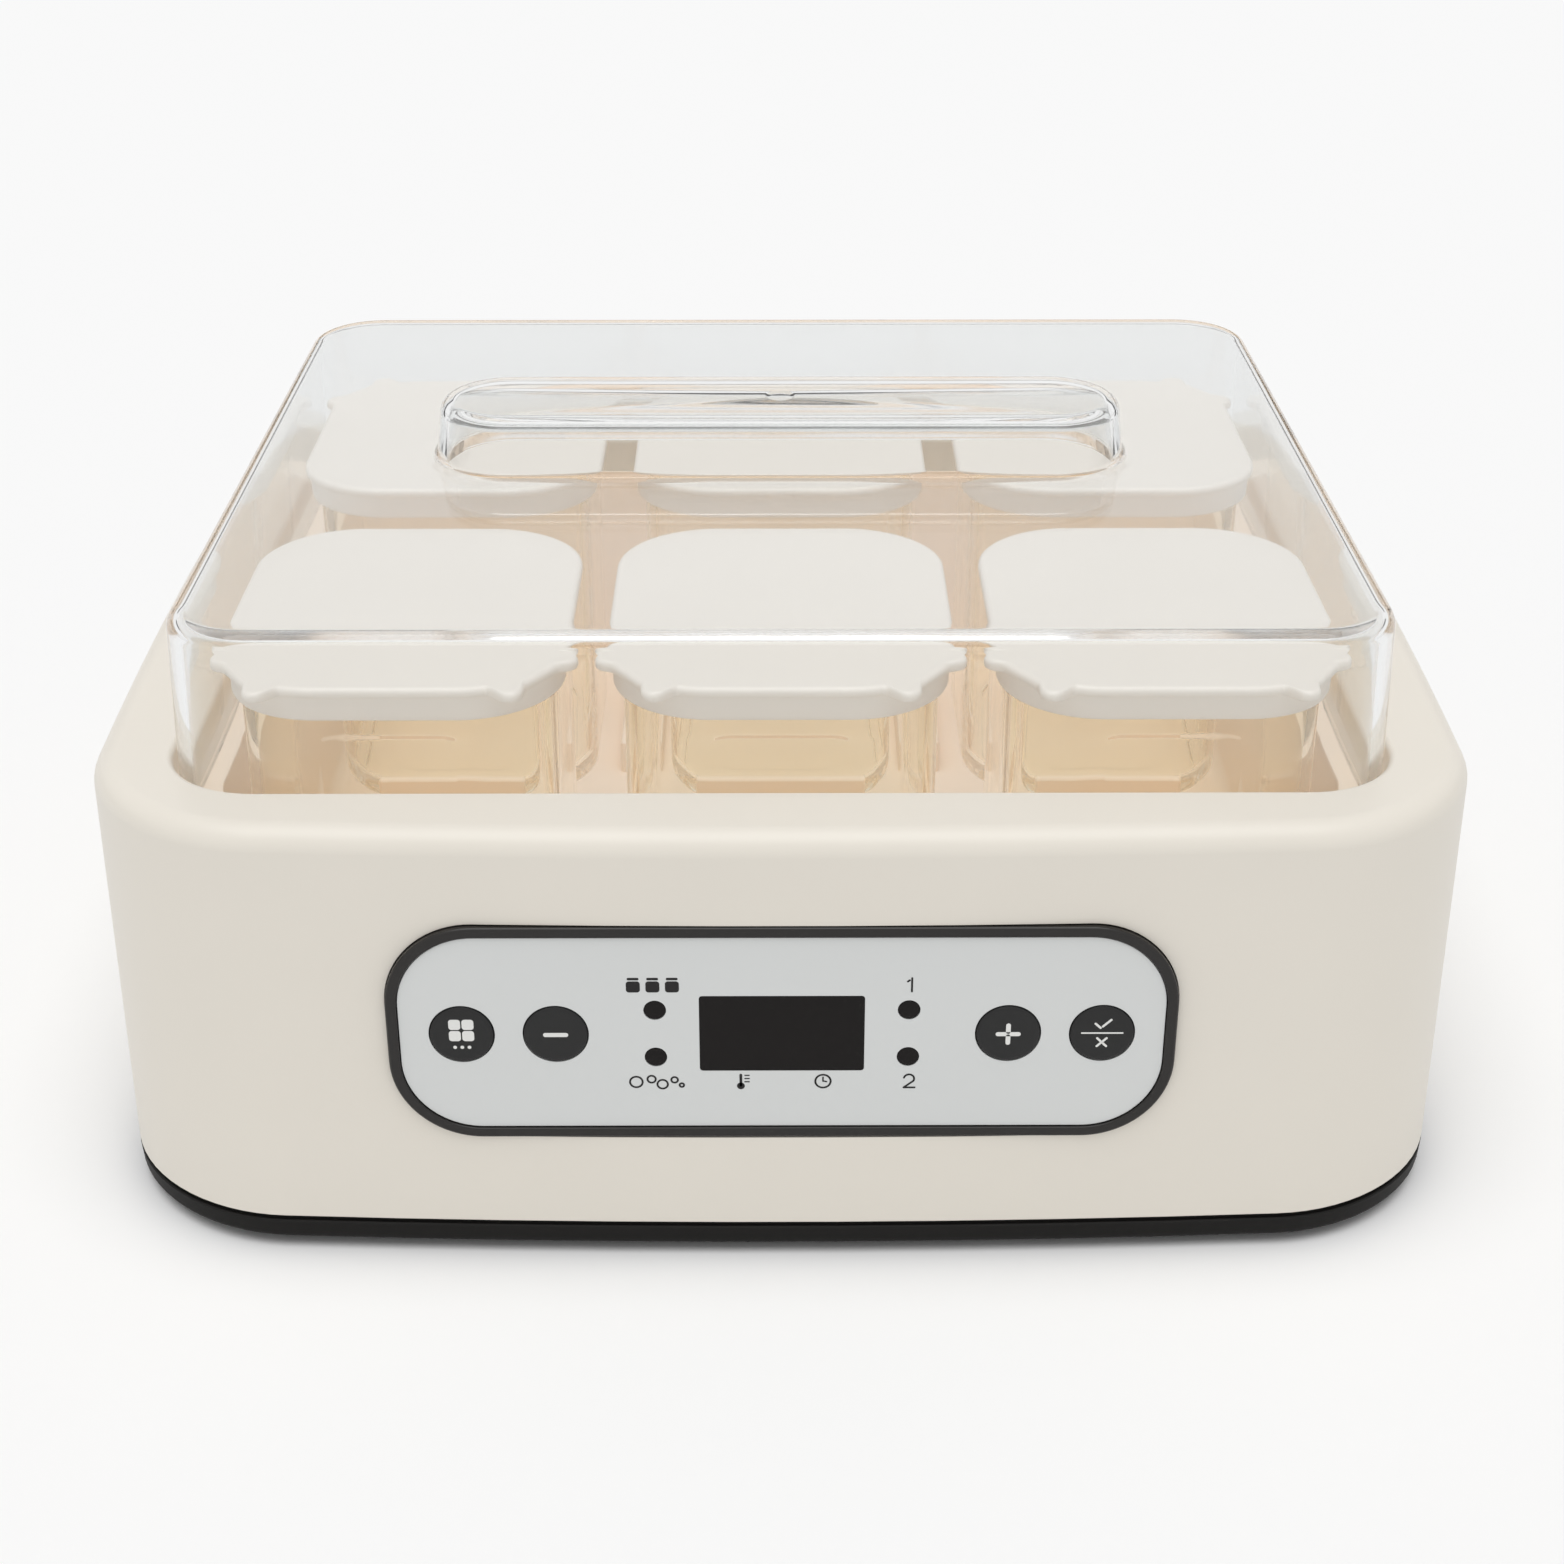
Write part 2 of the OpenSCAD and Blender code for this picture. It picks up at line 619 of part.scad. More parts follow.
module heater_relay() {
    color("#2D5FA8") translate([header_x, power_y + 6, power_top]) linear_extrude(11)
        square([15, 12], center = true);
}

terminal_y = power_y + power_d / 2 - 5;
feed_x = power_x - power_w / 2 + 5;
module wire_terminals() {
    color("#EDEBE4") translate([0, 0, power_top]) linear_extrude(7) {
        translate([power_x, terminal_y]) square([14, 6], center = true);
        translate([feed_x, power_y]) square([6, 14], center = true);
    }
}

// What follows at the inlet runs inwards from its mouth
module at_inlet() {
    translate([inlet_x, inlet_back, inlet_z]) rotate([90, 0, 0]) children();
}

module pin_pair(from, length) {
    for (s = [-1, 1]) translate([s * pin_x, 0, from]) cylinder(d = pin_d, h = length);
}

module power_inlet() {
    color(black) at_inlet() difference() {
        union() {
            linear_extrude(inlet_depth) rounded(inlet_w, inlet_h, 2);
            translate([0, 0, shell_t + 1]) linear_extrude(1.5) rounded(inlet_w + 6, inlet_h + 5, 2);
        }
        translate([0, 0, -1]) linear_extrude(inlet_depth - 2) rounded(inlet_w - 3, inlet_h - 3, 3.5);
        pin_pair(0, inlet_depth + 1);
    }
}

module inlet_pins() {
    color("#C9CBCC") at_inlet() pin_pair(2.5, inlet_depth - 2.5);
}

module mains_wires() {
    color("#8A5A3A") for (s = [-1, 1])
        wire([inlet_x + s * pin_x, inlet_back - inlet_depth, inlet_z], [0, -5, 0],
            [power_x + 3.5 * s, terminal_y + 3, power_top + 3.5], [0, -14, 0], [2, 2]);
}

module heater_wires() {
    reach = power_w / 4;
    color("#B5483A") for (s = [-1, 1])
        wire([feed_x - 3, power_y + 4 * s, power_top + 4], [-reach, 0, 0],
            [-cord_half, run_y(s < 0 ? 0 : cord_runs - 1), cord_z], [reach, 0, 0], [2.2, 2.2]);
}

// Headers for the flat cable, one on each board, and for the sensor
panel_header = [18, board_y + board_t, panel_z - board_h / 2 + 3];
supply_header = [header_x, power_y - power_d / 2, power_top];
sensor_header = [header_x - header_w / 2 - 9, power_y - power_d / 2, power_top];
module board_headers() {
    color("#EDEBE4") {
        translate(panel_header) translate([-header_w / 2, 0, 0]) cube([header_w, 3, header_h]);
        translate(supply_header) translate([-header_w / 2, 0, 0]) cube([header_w, 6, header_h]);
        translate(sensor_header) translate([-3, 0, 0]) cube([6, 6, header_h]);
    }
}

module ribbon_cable() {
    from = panel_header + [0, 1.5, 0];
    to = supply_header + [0, 0, header_h / 2];
    color("#D8D8D4") wire(from, [0, 0, 0.88 * (to.z - from.z)], to, [0, 0.26 * (to.y - from.y), 0],
        [1.2, header_w - 2], up = [1, 0, 0]);
}

module sensor_wires() {
    color("#3C3B3A") for (s = [-1, 1]) wire([1.2 * s, 0, under_floor - plate_t - 6], [0, 0, -6],
        sensor_header + [1.2 * s, 0, header_h / 2], [0, 10, 0], [1.4, 1.4], up = [1, 0, 0]);
}

// Cover, jars and lids

module clear_cover() {
    under = cover_top - cover_t;
    inner_r = cover_edge_r - cover_t / 2;
    bar_top = cover_top + bar_h;
    color(clear) skin(concat(
        [for (q = reversed(quarter(bar_edge_r - 1, 2)))
            bar_ring(bar_t + q[0], bar_top - bar_t - bar_edge_r + 1 + q[1])],
        [bar_ring(bar_t, under)],
        [for (q = reversed(quarter(inner_r, 4))) cover_ring(cover_t + q[0], under - inner_r + q[1])],
        [cover_ring(cover_t, ledge_z), cover_ring(0, ledge_z)],
        [for (q = quarter(cover_edge_r)) cover_ring(q[0], cover_top - cover_edge_r + q[1])],
        [bar_ring(-1.2, cover_top), bar_ring(0, cover_top + 1.2)],
        [for (q = quarter(bar_edge_r, 4)) bar_ring(q[0], bar_top - bar_edge_r + q[1])]));
}

// A jar at the origin, mouth up
module jar() {
    field_h = jar_h - field_drop - 8;
    color([0.86, 0.85, 0.8, 0.5]) difference() {
        union() {
            translate([0, 0, foot_step[1]]) linear_extrude(jar_h - foot_step[1]) rounded(jar_w, jar_d, jar_r);
            linear_extrude(jar_h / 2)
                rounded(jar_w - 2 * foot_step[0], jar_d - 2 * foot_step[0], jar_r - foot_step[0]);
            translate([0, jar_d / 2 + field_t, 8 + field_h / 2]) rotate([90, 0, 0])
                linear_extrude(jar_d + 2 * field_t) rounded(field_w, field_h, 7);
        }
        translate([0, 0, jar_t + 1]) linear_extrude(jar_h)
            rounded(jar_w - 2 * jar_t, jar_d - 2 * jar_t, jar_r - jar_t);
    }
}

// Plan of a lid whose grip tabs are at the corners on its -Y side
module lid_plan() {
    rounded(lid_w, lid_d, lid_r);
    for (s = [-1, 1]) {
        translate([s * (lid_w / 2 - 0.2), -lid_d / 2 + 14]) circle(nub_r);
        translate([s * (lid_w / 2 - 11.5), -lid_d / 2 - 0.2]) circle(nub_r);
        translate([s * (lid_w / 2 - lid_r * 0.52), -lid_d / 2 + lid_r * 0.52]) circle(lid_r * 0.5);
    }
}

// A lid over a jar at the origin, with its tabs towards the given side
module jar_lid(side) {
    color(cream) rotate([0, 0, side > 0 ? 180 : 0]) difference() {
        union() {
            translate([0, 0, jar_h]) linear_extrude(lid_t) lid_plan();
            translate([0, 0, jar_h + lid_t - lid_h]) linear_extrude(lid_h - lid_t / 2)
                rounded(lid_w - 2 * lid_brim, lid_d - 2 * lid_brim, lid_r - lid_brim);
        }
        translate([0, 0, jar_h - lid_h]) linear_extrude(lid_h)
            rounded(lid_w - skirt_in, lid_d - skirt_in, lid_r - lid_brim - skirt_t);
    }
}

module at_jar(col, side) {
    translate([col * column, side * row, floor_z]) children();
}

outer_shell();
inner_tub();
base_cover();
rubber_feet();
base_screws();
tub_screws();
panel_bezel();
panel_label();
display_window();
display_module();
button(-button_outer);  // button_mode
button(-button_inner);  // button_minus
button(button_inner);  // button_plus
button(button_outer);  // button_confirm
indicator_lenses();
indicator_leds();
control_board();
tact_switches();
panel_screws();
ribbon_cable();
heat_plate();
heating_cord();
cord_clips();
temperature_sensor();
thermal_fuse();
power_board();
power_screws();
power_transformer();
filter_capacitor();
heater_relay();
wire_terminals();
board_headers();
power_inlet();
inlet_pins();
mains_wires();
heater_wires();
sensor_wires();
clear_cover();
at_jar(-1, -1) jar();  // jar_front_left
at_jar(0, -1) jar();  // jar_front_middle
at_jar(1, -1) jar();  // jar_front_right
at_jar(-1, 1) jar();  // jar_back_left
at_jar(0, 1) jar();  // jar_back_middle
at_jar(1, 1) jar();  // jar_back_right
at_jar(-1, -1) jar_lid(-1);  // lid_front_left
at_jar(0, -1) jar_lid(-1);  // lid_front_middle
at_jar(1, -1) jar_lid(-1);  // lid_front_right
at_jar(-1, 1) jar_lid(1);  // lid_back_left
at_jar(0, 1) jar_lid(1);  // lid_back_middle
at_jar(1, 1) jar_lid(1);  // lid_back_right
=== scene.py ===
import math

import bmesh
import bpy
import numpy as np
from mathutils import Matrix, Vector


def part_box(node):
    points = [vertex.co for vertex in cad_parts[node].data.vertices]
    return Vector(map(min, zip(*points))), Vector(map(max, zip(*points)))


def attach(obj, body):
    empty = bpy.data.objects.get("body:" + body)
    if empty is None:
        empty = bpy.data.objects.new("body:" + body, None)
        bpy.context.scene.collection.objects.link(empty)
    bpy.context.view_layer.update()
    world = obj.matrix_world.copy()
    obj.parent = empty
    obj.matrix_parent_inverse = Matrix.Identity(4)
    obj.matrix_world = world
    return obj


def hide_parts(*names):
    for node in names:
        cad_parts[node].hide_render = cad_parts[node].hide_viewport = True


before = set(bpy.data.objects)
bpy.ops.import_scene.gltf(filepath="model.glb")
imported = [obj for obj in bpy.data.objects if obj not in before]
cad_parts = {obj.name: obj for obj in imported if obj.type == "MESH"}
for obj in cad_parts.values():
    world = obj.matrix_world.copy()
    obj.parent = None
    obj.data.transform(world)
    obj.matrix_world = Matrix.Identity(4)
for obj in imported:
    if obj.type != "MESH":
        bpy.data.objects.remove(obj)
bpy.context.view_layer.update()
print("frame loaded:", len(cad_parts), "nodes")

mm = 0.001  # every size below is in millimetres, every mesh in metres
bpy.context.scene.view_settings.view_transform = "Standard"

paths = {"max_bounces": 100, "glossy_bounces": 100, "transmission_bounces": 100,
         "transparent_max_bounces": 48, "diffuse_bounces": 12}
for key, value in paths.items():  # light runs far along the clear walls and past two rows of jars
    setattr(bpy.context.scene.cycles, key, value)


def putIn(name, data):  # a new object in the scene
    obj = bpy.data.objects.new(name, data)
    bpy.context.scene.collection.objects.link(obj)
    return obj


# Camera, above and in front, looking down at the panel and the cover

camera = {
    "lens": 57.91,        # on a 36 mm wide sensor
    "place": (-1.33, -499.66, 297.16),
    "pitch": 27.14,       # degrees below the horizon
    "yaw": -0.2,
}


def addCamera():
    data = bpy.data.cameras.new("camera")
    data.sensor_width = 36
    data.lens = camera["lens"]
    obj = putIn("camera", data)
    obj.location = [v * mm for v in camera["place"]]
    obj.rotation_euler = (math.radians(90 - camera["pitch"]), 0, math.radians(camera["yaw"]))
    bpy.context.scene.camera = obj


addCamera()
print("camera set")


# Shader helpers

def srgb(code):  # hex colour to linear light
    parts = [int(code[i:i + 2], 16) / 255 for i in (1, 3, 5)]
    return tuple(p / 12.92 if p <= 0.04045 else ((p + 0.055) / 1.055) ** 2.4 for p in parts) + (1,)


def grey(value):
    return (value, value, value, 1)


def addNode(tree, kind, inputs=None, **settings):  # a node, its settings and what feeds it
    node = tree.nodes.new(kind)
    for key, value in settings.items():
        setattr(node, key, value)
    for key, value in (inputs or {}).items():
        if isinstance(value, bpy.types.NodeSocket):
            tree.links.new(value, node.inputs[key])
        else:
            node.inputs[key].default_value = value
    return node


def newMaterial(name):
    material = bpy.data.materials.new(name)
    material.use_nodes = True
    material.node_tree.nodes.clear()
    return material, material.node_tree


def closeMaterial(material, surface):
    addNode(material.node_tree, "ShaderNodeOutputMaterial", {"Surface": surface.outputs[0]})
    return material


def eitherRay(tree, *kinds):  # 1 for light paths of any of these kinds, 0 for others
    path = addNode(tree, "ShaderNodeLightPath")
    found = path.outputs[kinds[0]]
    for kind in kinds[1:]:
        found = addNode(tree, "ShaderNodeMath", {0: found, 1: path.outputs[kind]},
                        operation="MAXIMUM").outputs[0]
    return found


def scaleFor(size):  # noise scale whose features are about this many millimetres across
    return 1 / (size * mm)


# World and lamps: a plain light tent, white to the eye and to gloss, a little dimmer as a lamp

studio = {
    "white": 0.955,      # what the backdrop shows
    "paper": 0.94,       # what the floor gives back
    "tent": 0.565,       # share of the light that comes from all round
    "lamp": 1.42,        # big soft lamp overhead
    "lampSpread": 50,    # degrees of sky that it fills
    "lampTilt": 13,      # degrees it leans to the front
    "lampTurn": -8,      # degrees it is turned aside
    "cardGrey": 0.02,
    "floorSize": 24,     # metres
    "cards": {           # corners in metres
        "leftCard": [(-2.7, -0.8, 0.12), (-2.7, 2.6, 0.12), (-2.7, 2.6, 0.5), (-2.7, -0.8, 0.5)],
        "rightCard": [(2.7, -0.8, 0.12), (2.7, 2.6, 0.12), (2.7, 2.6, 0.5), (2.7, -0.8, 0.5)],
        "backCard": [(-2.3, 3, 0.12), (2.3, 3, 0.12), (2.3, 3, 0.6), (-2.3, 3, 0.6)],
    },
}


def dullSheet(name, value):
    # Plain paper or card, without gloss: it gives the eye only its own grey
    material, tree = newMaterial(name)
    return closeMaterial(material, addNode(tree, "ShaderNodeBsdfDiffuse", {"Color": grey(value)}))


def addSheet(name, points, material):
    mesh = bpy.data.meshes.new(name)
    mesh.from_pydata(points, [], [(0, 1, 2, 3)])
    mesh.materials.append(material)
    return putIn(name, mesh)


def addStudio():
    world = bpy.data.worlds.new("lightTent")
    bpy.context.scene.world = world
    world.use_nodes = True
    tree = world.node_tree
    tree.nodes.clear()
    seen = eitherRay(tree, "Is Camera Ray", "Is Glossy Ray", "Is Transmission Ray")
    strength = addNode(tree, "ShaderNodeMapRange", {"Value": seen, "To Min": studio["tent"],
                                                    "To Max": studio["white"]})
    light = addNode(tree, "ShaderNodeBackground", {"Color": grey(1), "Strength": strength.outputs[0]})
    addNode(tree, "ShaderNodeOutputWorld", {"Surface": light.outputs[0]})

    sun = bpy.data.lights.new("softLamp", "SUN")
    sun.energy = studio["lamp"]
    sun.angle = math.radians(studio["lampSpread"])
    sun.color = (1, 1, 1)
    obj = putIn("softLamp", sun)
    obj.rotation_euler = (math.radians(studio["lampTilt"]), 0, math.radians(studio["lampTurn"]))

    half = studio["floorSize"] / 2
    floor = addSheet("floor", [(-half, -half, 0), (half, -half, 0), (half, half, 0), (-half, half, 0)],
                     dullSheet("paperSweep", studio["paper"]))
    floor.location.z = -0.0002

    card = dullSheet("blackCard", studio["cardGrey"])
    for name, points in studio["cards"].items():  # they draw thin dark lines in clear edges only
        obj = addSheet(name, points, card)
        obj.visible_camera = obj.visible_diffuse = obj.visible_shadow = False


addStudio()
print("studio lit")


# Materials

def mouldedPlastic(name, colour, roughness=0.42, grain=0.5, depth=0.03, mottle=0.03, level=0.5,
                   ior=1.5, soft=0.0, leak=0.0):
    # An injection-moulded skin: spark-eroded grain, faint flow clouding, gloss that varies a little
    material, tree = newMaterial(name)
    place = addNode(tree, "ShaderNodeTexCoord").outputs["Object"]
    cloud = addNode(tree, "ShaderNodeTexNoise", {"Vector": place, "Scale": scaleFor(28), "Detail": 2.0})
    base = srgb(colour)
    darker = tuple(c * (1 - mottle) for c in base[:3]) + (1,)
    tint = addNode(tree, "ShaderNodeMix", {"Factor": cloud.outputs["Fac"], 6: darker, 7: base},
                   data_type="RGBA")
    spark = addNode(tree, "ShaderNodeTexNoise", {"Vector": place, "Scale": scaleFor(grain),
                                                 "Detail": 3.0, "Roughness": 0.6})
    gloss = addNode(tree, "ShaderNodeMapRange", {"Value": spark.outputs["Fac"],
                                                 "To Min": roughness - 0.05, "To Max": roughness + 0.05})
    relief = addNode(tree, "ShaderNodeBump", {"Height": spark.outputs["Fac"], "Strength": 0.35,
                                              "Distance": depth * mm})
    skin = addNode(tree, "ShaderNodeBsdfPrincipled", {
        "Base Color": tint.outputs[2], "Roughness": gloss.outputs[0], "Normal": relief.outputs[0],
        "IOR": ior, "Specular IOR Level": level})
    if soft:
        skin.inputs["Subsurface Weight"].default_value = soft
        skin.inputs["Subsurface Radius"].default_value = (1.0, 0.7, 0.5)
        skin.inputs["Subsurface Scale"].default_value = 1.5 * mm
    if leak:  # thin milky plastic: part of the lamps' light goes on through it
        lamp = eitherRay(tree, "Is Shadow Ray", "Is Diffuse Ray")
        part = addNode(tree, "ShaderNodeMath", {0: lamp, 1: leak}, operation="MULTIPLY")
        through = addNode(tree, "ShaderNodeBsdfTransparent", {"Color": grey(1)})
        skin = addNode(tree, "ShaderNodeMixShader", {0: part.outputs[0], 1: skin.outputs[0],
                                                     2: through.outputs[0]})
    return closeMaterial(material, skin)


def clearMoulding(name, tint, ior, wave=35, haze=0.01, shade=0.94):
    # Polished see-through wall: it bends what lies behind, less than a solid block would, since it
    # is thin, and lamps reach what it covers
    material, tree = newMaterial(name)
    place = addNode(tree, "ShaderNodeTexCoord").outputs["Object"]
    flow = addNode(tree, "ShaderNodeTexNoise", {"Vector": place, "Scale": scaleFor(wave), "Detail": 1.0})
    relief = addNode(tree, "ShaderNodeBump", {"Height": flow.outputs["Fac"], "Strength": 0.2,
                                              "Distance": 0.3 * mm})
    wall = addNode(tree, "ShaderNodeBsdfPrincipled", {
        "Base Color": srgb(tint), "Roughness": haze, "IOR": ior, "Transmission Weight": 1.0,
        "Normal": relief.outputs[0]})
    through = addNode(tree, "ShaderNodeBsdfTransparent", {"Color": grey(shade)})
    both = addNode(tree, "ShaderNodeMixShader", {0: eitherRay(tree, "Is Shadow Ray", "Is Diffuse Ray"),
                                                 1: wall.outputs[0], 2: through.outputs[0]})
    return closeMaterial(material, both)


def rolledMetal(name, colour, roughness, streak):
    # Bare metal with the fine lines of its rolling or plating
    material, tree = newMaterial(name)
    place = addNode(tree, "ShaderNodeTexCoord").outputs["Object"]
    drawn = addNode(tree, "ShaderNodeMapping", {"Vector": place, "Scale": (0.08, 1.0, 1.0)})
    lines = addNode(tree, "ShaderNodeTexNoise", {"Vector": drawn.outputs[0], "Scale": scaleFor(streak),
                                                 "Detail": 4.0})
    base = srgb(colour)
    darker = tuple(c * 0.86 for c in base[:3]) + (1,)
    tint = addNode(tree, "ShaderNodeMix", {"Factor": lines.outputs["Fac"], 6: base, 7: darker},
                   data_type="RGBA")
    gloss = addNode(tree, "ShaderNodeMapRange", {"Value": lines.outputs["Fac"],
                                                 "To Min": roughness - 0.07, "To Max": roughness + 0.1})
    relief = addNode(tree, "ShaderNodeBump", {"Height": lines.outputs["Fac"], "Strength": 0.2,
                                              "Distance": 0.01 * mm})
    skin = addNode(tree, "ShaderNodeBsdfPrincipled", {
        "Base Color": tint.outputs[2], "Metallic": 1.0, "Roughness": gloss.outputs[0],
        "Normal": relief.outputs[0]})
    return closeMaterial(material, skin)


def fibreglassBoard(name):
    # Green solder mask over copper tracks, which show as slightly paler lines
    material, tree = newMaterial(name)
    place = addNode(tree, "ShaderNodeTexCoord").outputs["Object"]
    cells = addNode(tree, "ShaderNodeTexBrick", {
        "Vector": place, "Scale": scaleFor(5),  # tracks drawn coarser than real, to show
        "Color1": srgb("#2B6A43"), "Color2": srgb("#27613D"),
        "Mortar": srgb("#4C8A55"), "Mortar Size": 0.05, "Bias": 0.1})
    fine = addNode(tree, "ShaderNodeTexNoise", {"Vector": place, "Scale": scaleFor(0.8), "Detail": 2.0})
    relief = addNode(tree, "ShaderNodeBump", {"Height": cells.outputs["Fac"], "Strength": 0.3,
                                              "Distance": 0.04 * mm})
    gloss = addNode(tree, "ShaderNodeMapRange", {"Value": fine.outputs["Fac"], "To Min": 0.3,
                                                 "To Max": 0.45})
    skin = addNode(tree, "ShaderNodeBsdfPrincipled", {
        "Base Color": cells.outputs["Color"], "Roughness": gloss.outputs[0],
        "Normal": relief.outputs[0], "IOR": 1.5})
    return closeMaterial(material, skin)


finishes = {made.name: made for made in (
    # Cream ABS, moulded with a fine matt grain: a soft even sheen on the rim and walls
    mouldedPlastic("creamAbsMoulded", "#E9E3D8", 0.40, 0.45, 0.03),
    # Cream polypropylene lids: waxier than the housing, thin enough that lamplight reaches the jars below
    mouldedPlastic("creamLidMoulded", "#F4EEE5", 0.46, 0.6, 0.025, leak=0.8),
    # Warm beige polypropylene tub: its pale skin gives the glow round the jars and in their glass
    mouldedPlastic("warmTubMoulded", "#FBECDA", 0.42, 0.7, 0.03),
    # Black polypropylene base, grained: nearly without gloss
    mouldedPlastic("blackBaseMoulded", "#1E1D1C", 0.55, 0.4, 0.04, level=0.12),
    # Black ABS panel frame: a smooth satin edge round the label
    mouldedPlastic("blackFrameMoulded", "#1D1A18", 0.30, 0.35, 0.01, level=0.4),
    # Black ABS keys: a fine matt skin that stays dark under the lamps
    mouldedPlastic("blackKeyMoulded", "#1B1B1B", 0.38, 0.3, 0.012, level=0.35),
    # Grey polycarbonate label, screen-printed behind a fine matt face
    mouldedPlastic("greyLabelPrinted", "#DADCDB", 0.36, 0.3, 0.008, mottle=0.015),
    # Black printing ink, slightly raised and dull
    mouldedPlastic("blackInkPrinted", "#1C1A1A", 0.5, 0.2, 0.004, level=0.3),
    # White printing ink on the keys, dull
    mouldedPlastic("whiteInkPrinted", "#E9E9E6", 0.5, 0.2, 0.004),
    # Smoked acrylic window and lamp lenses, polished: near black with a faint reflection
    mouldedPlastic("smokedAcrylicPolished", "#181514", 0.16, 1.5, 0.003, level=0.16, ior=1.49),
    # Rubber feet, dull and faintly dusty
    mouldedPlastic("rubberMoulded", "#34322F", 0.72, 0.8, 0.05, mottle=0.12, level=0.3),
    # Clear styrene acrylonitrile cover, polished on both faces: seen mostly by its bright edges
    clearMoulding("clearSanPolished", "#F4F5F5", 1.4, haze=0.03, shade=0.995),
    # Pressed soda-lime glass jars, a breath of yellow in the thickness
    clearMoulding("sodaGlassPressed", "#FEFDF8", 1.2, wave=22, haze=0.02, shade=0.995),
    # Zinc-plated steel screws: cool grey with a soft metal gleam
    rolledMetal("steelZincPlated", "#C4C6C8", 0.32, 0.3),
    # Rolled aluminium heat spreader and its straps: pale, with fine lines along the sheet
    rolledMetal("aluminiumRolled", "#CFD1D3", 0.38, 0.5),
    # Turned brass sensor sleeve: warm yellow gleam
    rolledMetal("brassTurned", "#C9A24B", 0.3, 0.4),
    # Nickel-plated brass inlet pins: bright and slightly warm
    rolledMetal("brassNickelPlated", "#CBC8C0", 0.22, 0.3),
    # Red silicone sheath of the heating cord, dull and rubbery
    mouldedPlastic("siliconeExtruded", "#B24A3A", 0.55, 0.5, 0.02, mottle=0.06),
    # Brown PVC mains wires, smooth and a little glossy
    mouldedPlastic("brownPvcExtruded", "#7F5236", 0.38, 0.8, 0.01, mottle=0.05),
    # Red braided sleeves on the heater's wires, dull and uneven
    mouldedPlastic("redSleeveBraided", "#A9453A", 0.6, 0.35, 0.06, mottle=0.12),
    # Black PVC sensor wires, smooth
    mouldedPlastic("blackPvcExtruded", "#2F2E2D", 0.4, 0.8, 0.01),
    # Grey PVC flat cable, ribbed along its cores
    mouldedPlastic("greyPvcRibbed", "#C9C9C5", 0.45, 0.6, 0.05, mottle=0.06),
    # Off-white nylon connectors, faintly translucent
    mouldedPlastic("nylonMoulded", "#E4E1D6", 0.5, 0.5, 0.02, soft=0.1),
    # Black phenolic switch bodies, matt
    mouldedPlastic("blackSwitchMoulded", "#29292A", 0.45, 0.3, 0.02),
    # Blue polyester relay case, smooth
    mouldedPlastic("blueRelayMoulded", "#2E5E9E", 0.3, 0.5, 0.01),
    # Dark blue PVC capacitor sleeve, shrunk on
    mouldedPlastic("blueSleeveShrunk", "#26334A", 0.28, 1.2, 0.02),
    # Ferrite core under yellow polyester tape
    mouldedPlastic("yellowTapeWound", "#CFAE45", 0.34, 1.0, 0.02, mottle=0.1),
    # Milky epoxy lamps: light sinks in and softens their edges
    mouldedPlastic("milkyEpoxyCast", "#D8D2C4", 0.22, 0.6, 0.005, soft=0.2),
    # Pale ceramic fuse body under a clear glaze
    mouldedPlastic("ceramicGlazed", "#DAD6CA", 0.2, 1.0, 0.01),
    # Glass-fibre circuit boards: green mask with paler tracks
    fibreglassBoard("greenBoardEtched"),
    # Dark display glass in its frame, glossy
    mouldedPlastic("displayGlassFramed", "#262422", 0.2, 1.0, 0.003),
)}
print("materials made:", len(finishes))


# Mesh helpers

def boxOf(node):  # lowest and highest corner of a CAD node, in millimetres
    low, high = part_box(node)
    return np.array(low) / mm, np.array(high) / mm


def outline(w, d, r, arc=18, side=8):  # rounded rectangle, anticlockwise from its right side
    def corner(i, a):
        sx, sy = (1 if i % 4 in (0, 3) else -1), (1 if i % 4 < 2 else -1)
        turn = math.pi / 2 * i + a
        return np.array([sx * (w / 2 - r) + r * math.cos(turn), sy * (d / 2 - r) + r * math.sin(turn)])
    points = []
    for i in range(4):
        points += [corner(i, math.pi / 2 * k / arc) for k in range(arc + 1)]
        a, b = points[-1], corner(i + 1, 0)
        points += [a + (b - a) * k / (side + 1) for k in range(1, side + 1)]
    return np.array(points)


def level(points, z):
    return np.column_stack([points, np.full(len(points), float(z))])


def ring(w, d, r, z, bow=(0, 0), **steps):  # the outline at height z, its sides bowed out
    p = outline(w, d, r, **steps)
    x = p[:, 0] * (1 - 2 * bow[0] / w * (2 * p[:, 1] / d) ** 2)
    y = p[:, 1] * (1 - 2 * bow[1] / d * (2 * p[:, 0] / w) ** 2)
    return level(np.column_stack([x, y]), z)


def circle(r, z, steps=64, centre=(0, 0)):
    a = np.linspace(0, 2 * math.pi, steps, endpoint=False)
    return level(np.column_stack([centre[0] + r * np.cos(a), centre[1] + r * np.sin(a)]), z)


def quarter(r, steps=8):  # quarter round from a wall to a top: inset and rise
    return [(r * (1 - math.cos(math.pi / 2 * k / steps)), r * math.sin(math.pi / 2 * k / steps))
            for k in range(steps + 1)]


def fourCorners(x, y, middle=(0, 0)):
    return [(middle[0] + sx * x, middle[1] + sy * y) for sx in (-1, 1) for sy in (-1, 1)]


def onPanel(points):  # from the panel's own plane (right, up, out) to the row frame
    p = np.asarray(points, float)
    return np.column_stack([p[:, 0], panel["y"] - p[:, 2], panel["z"] + p[:, 1]])


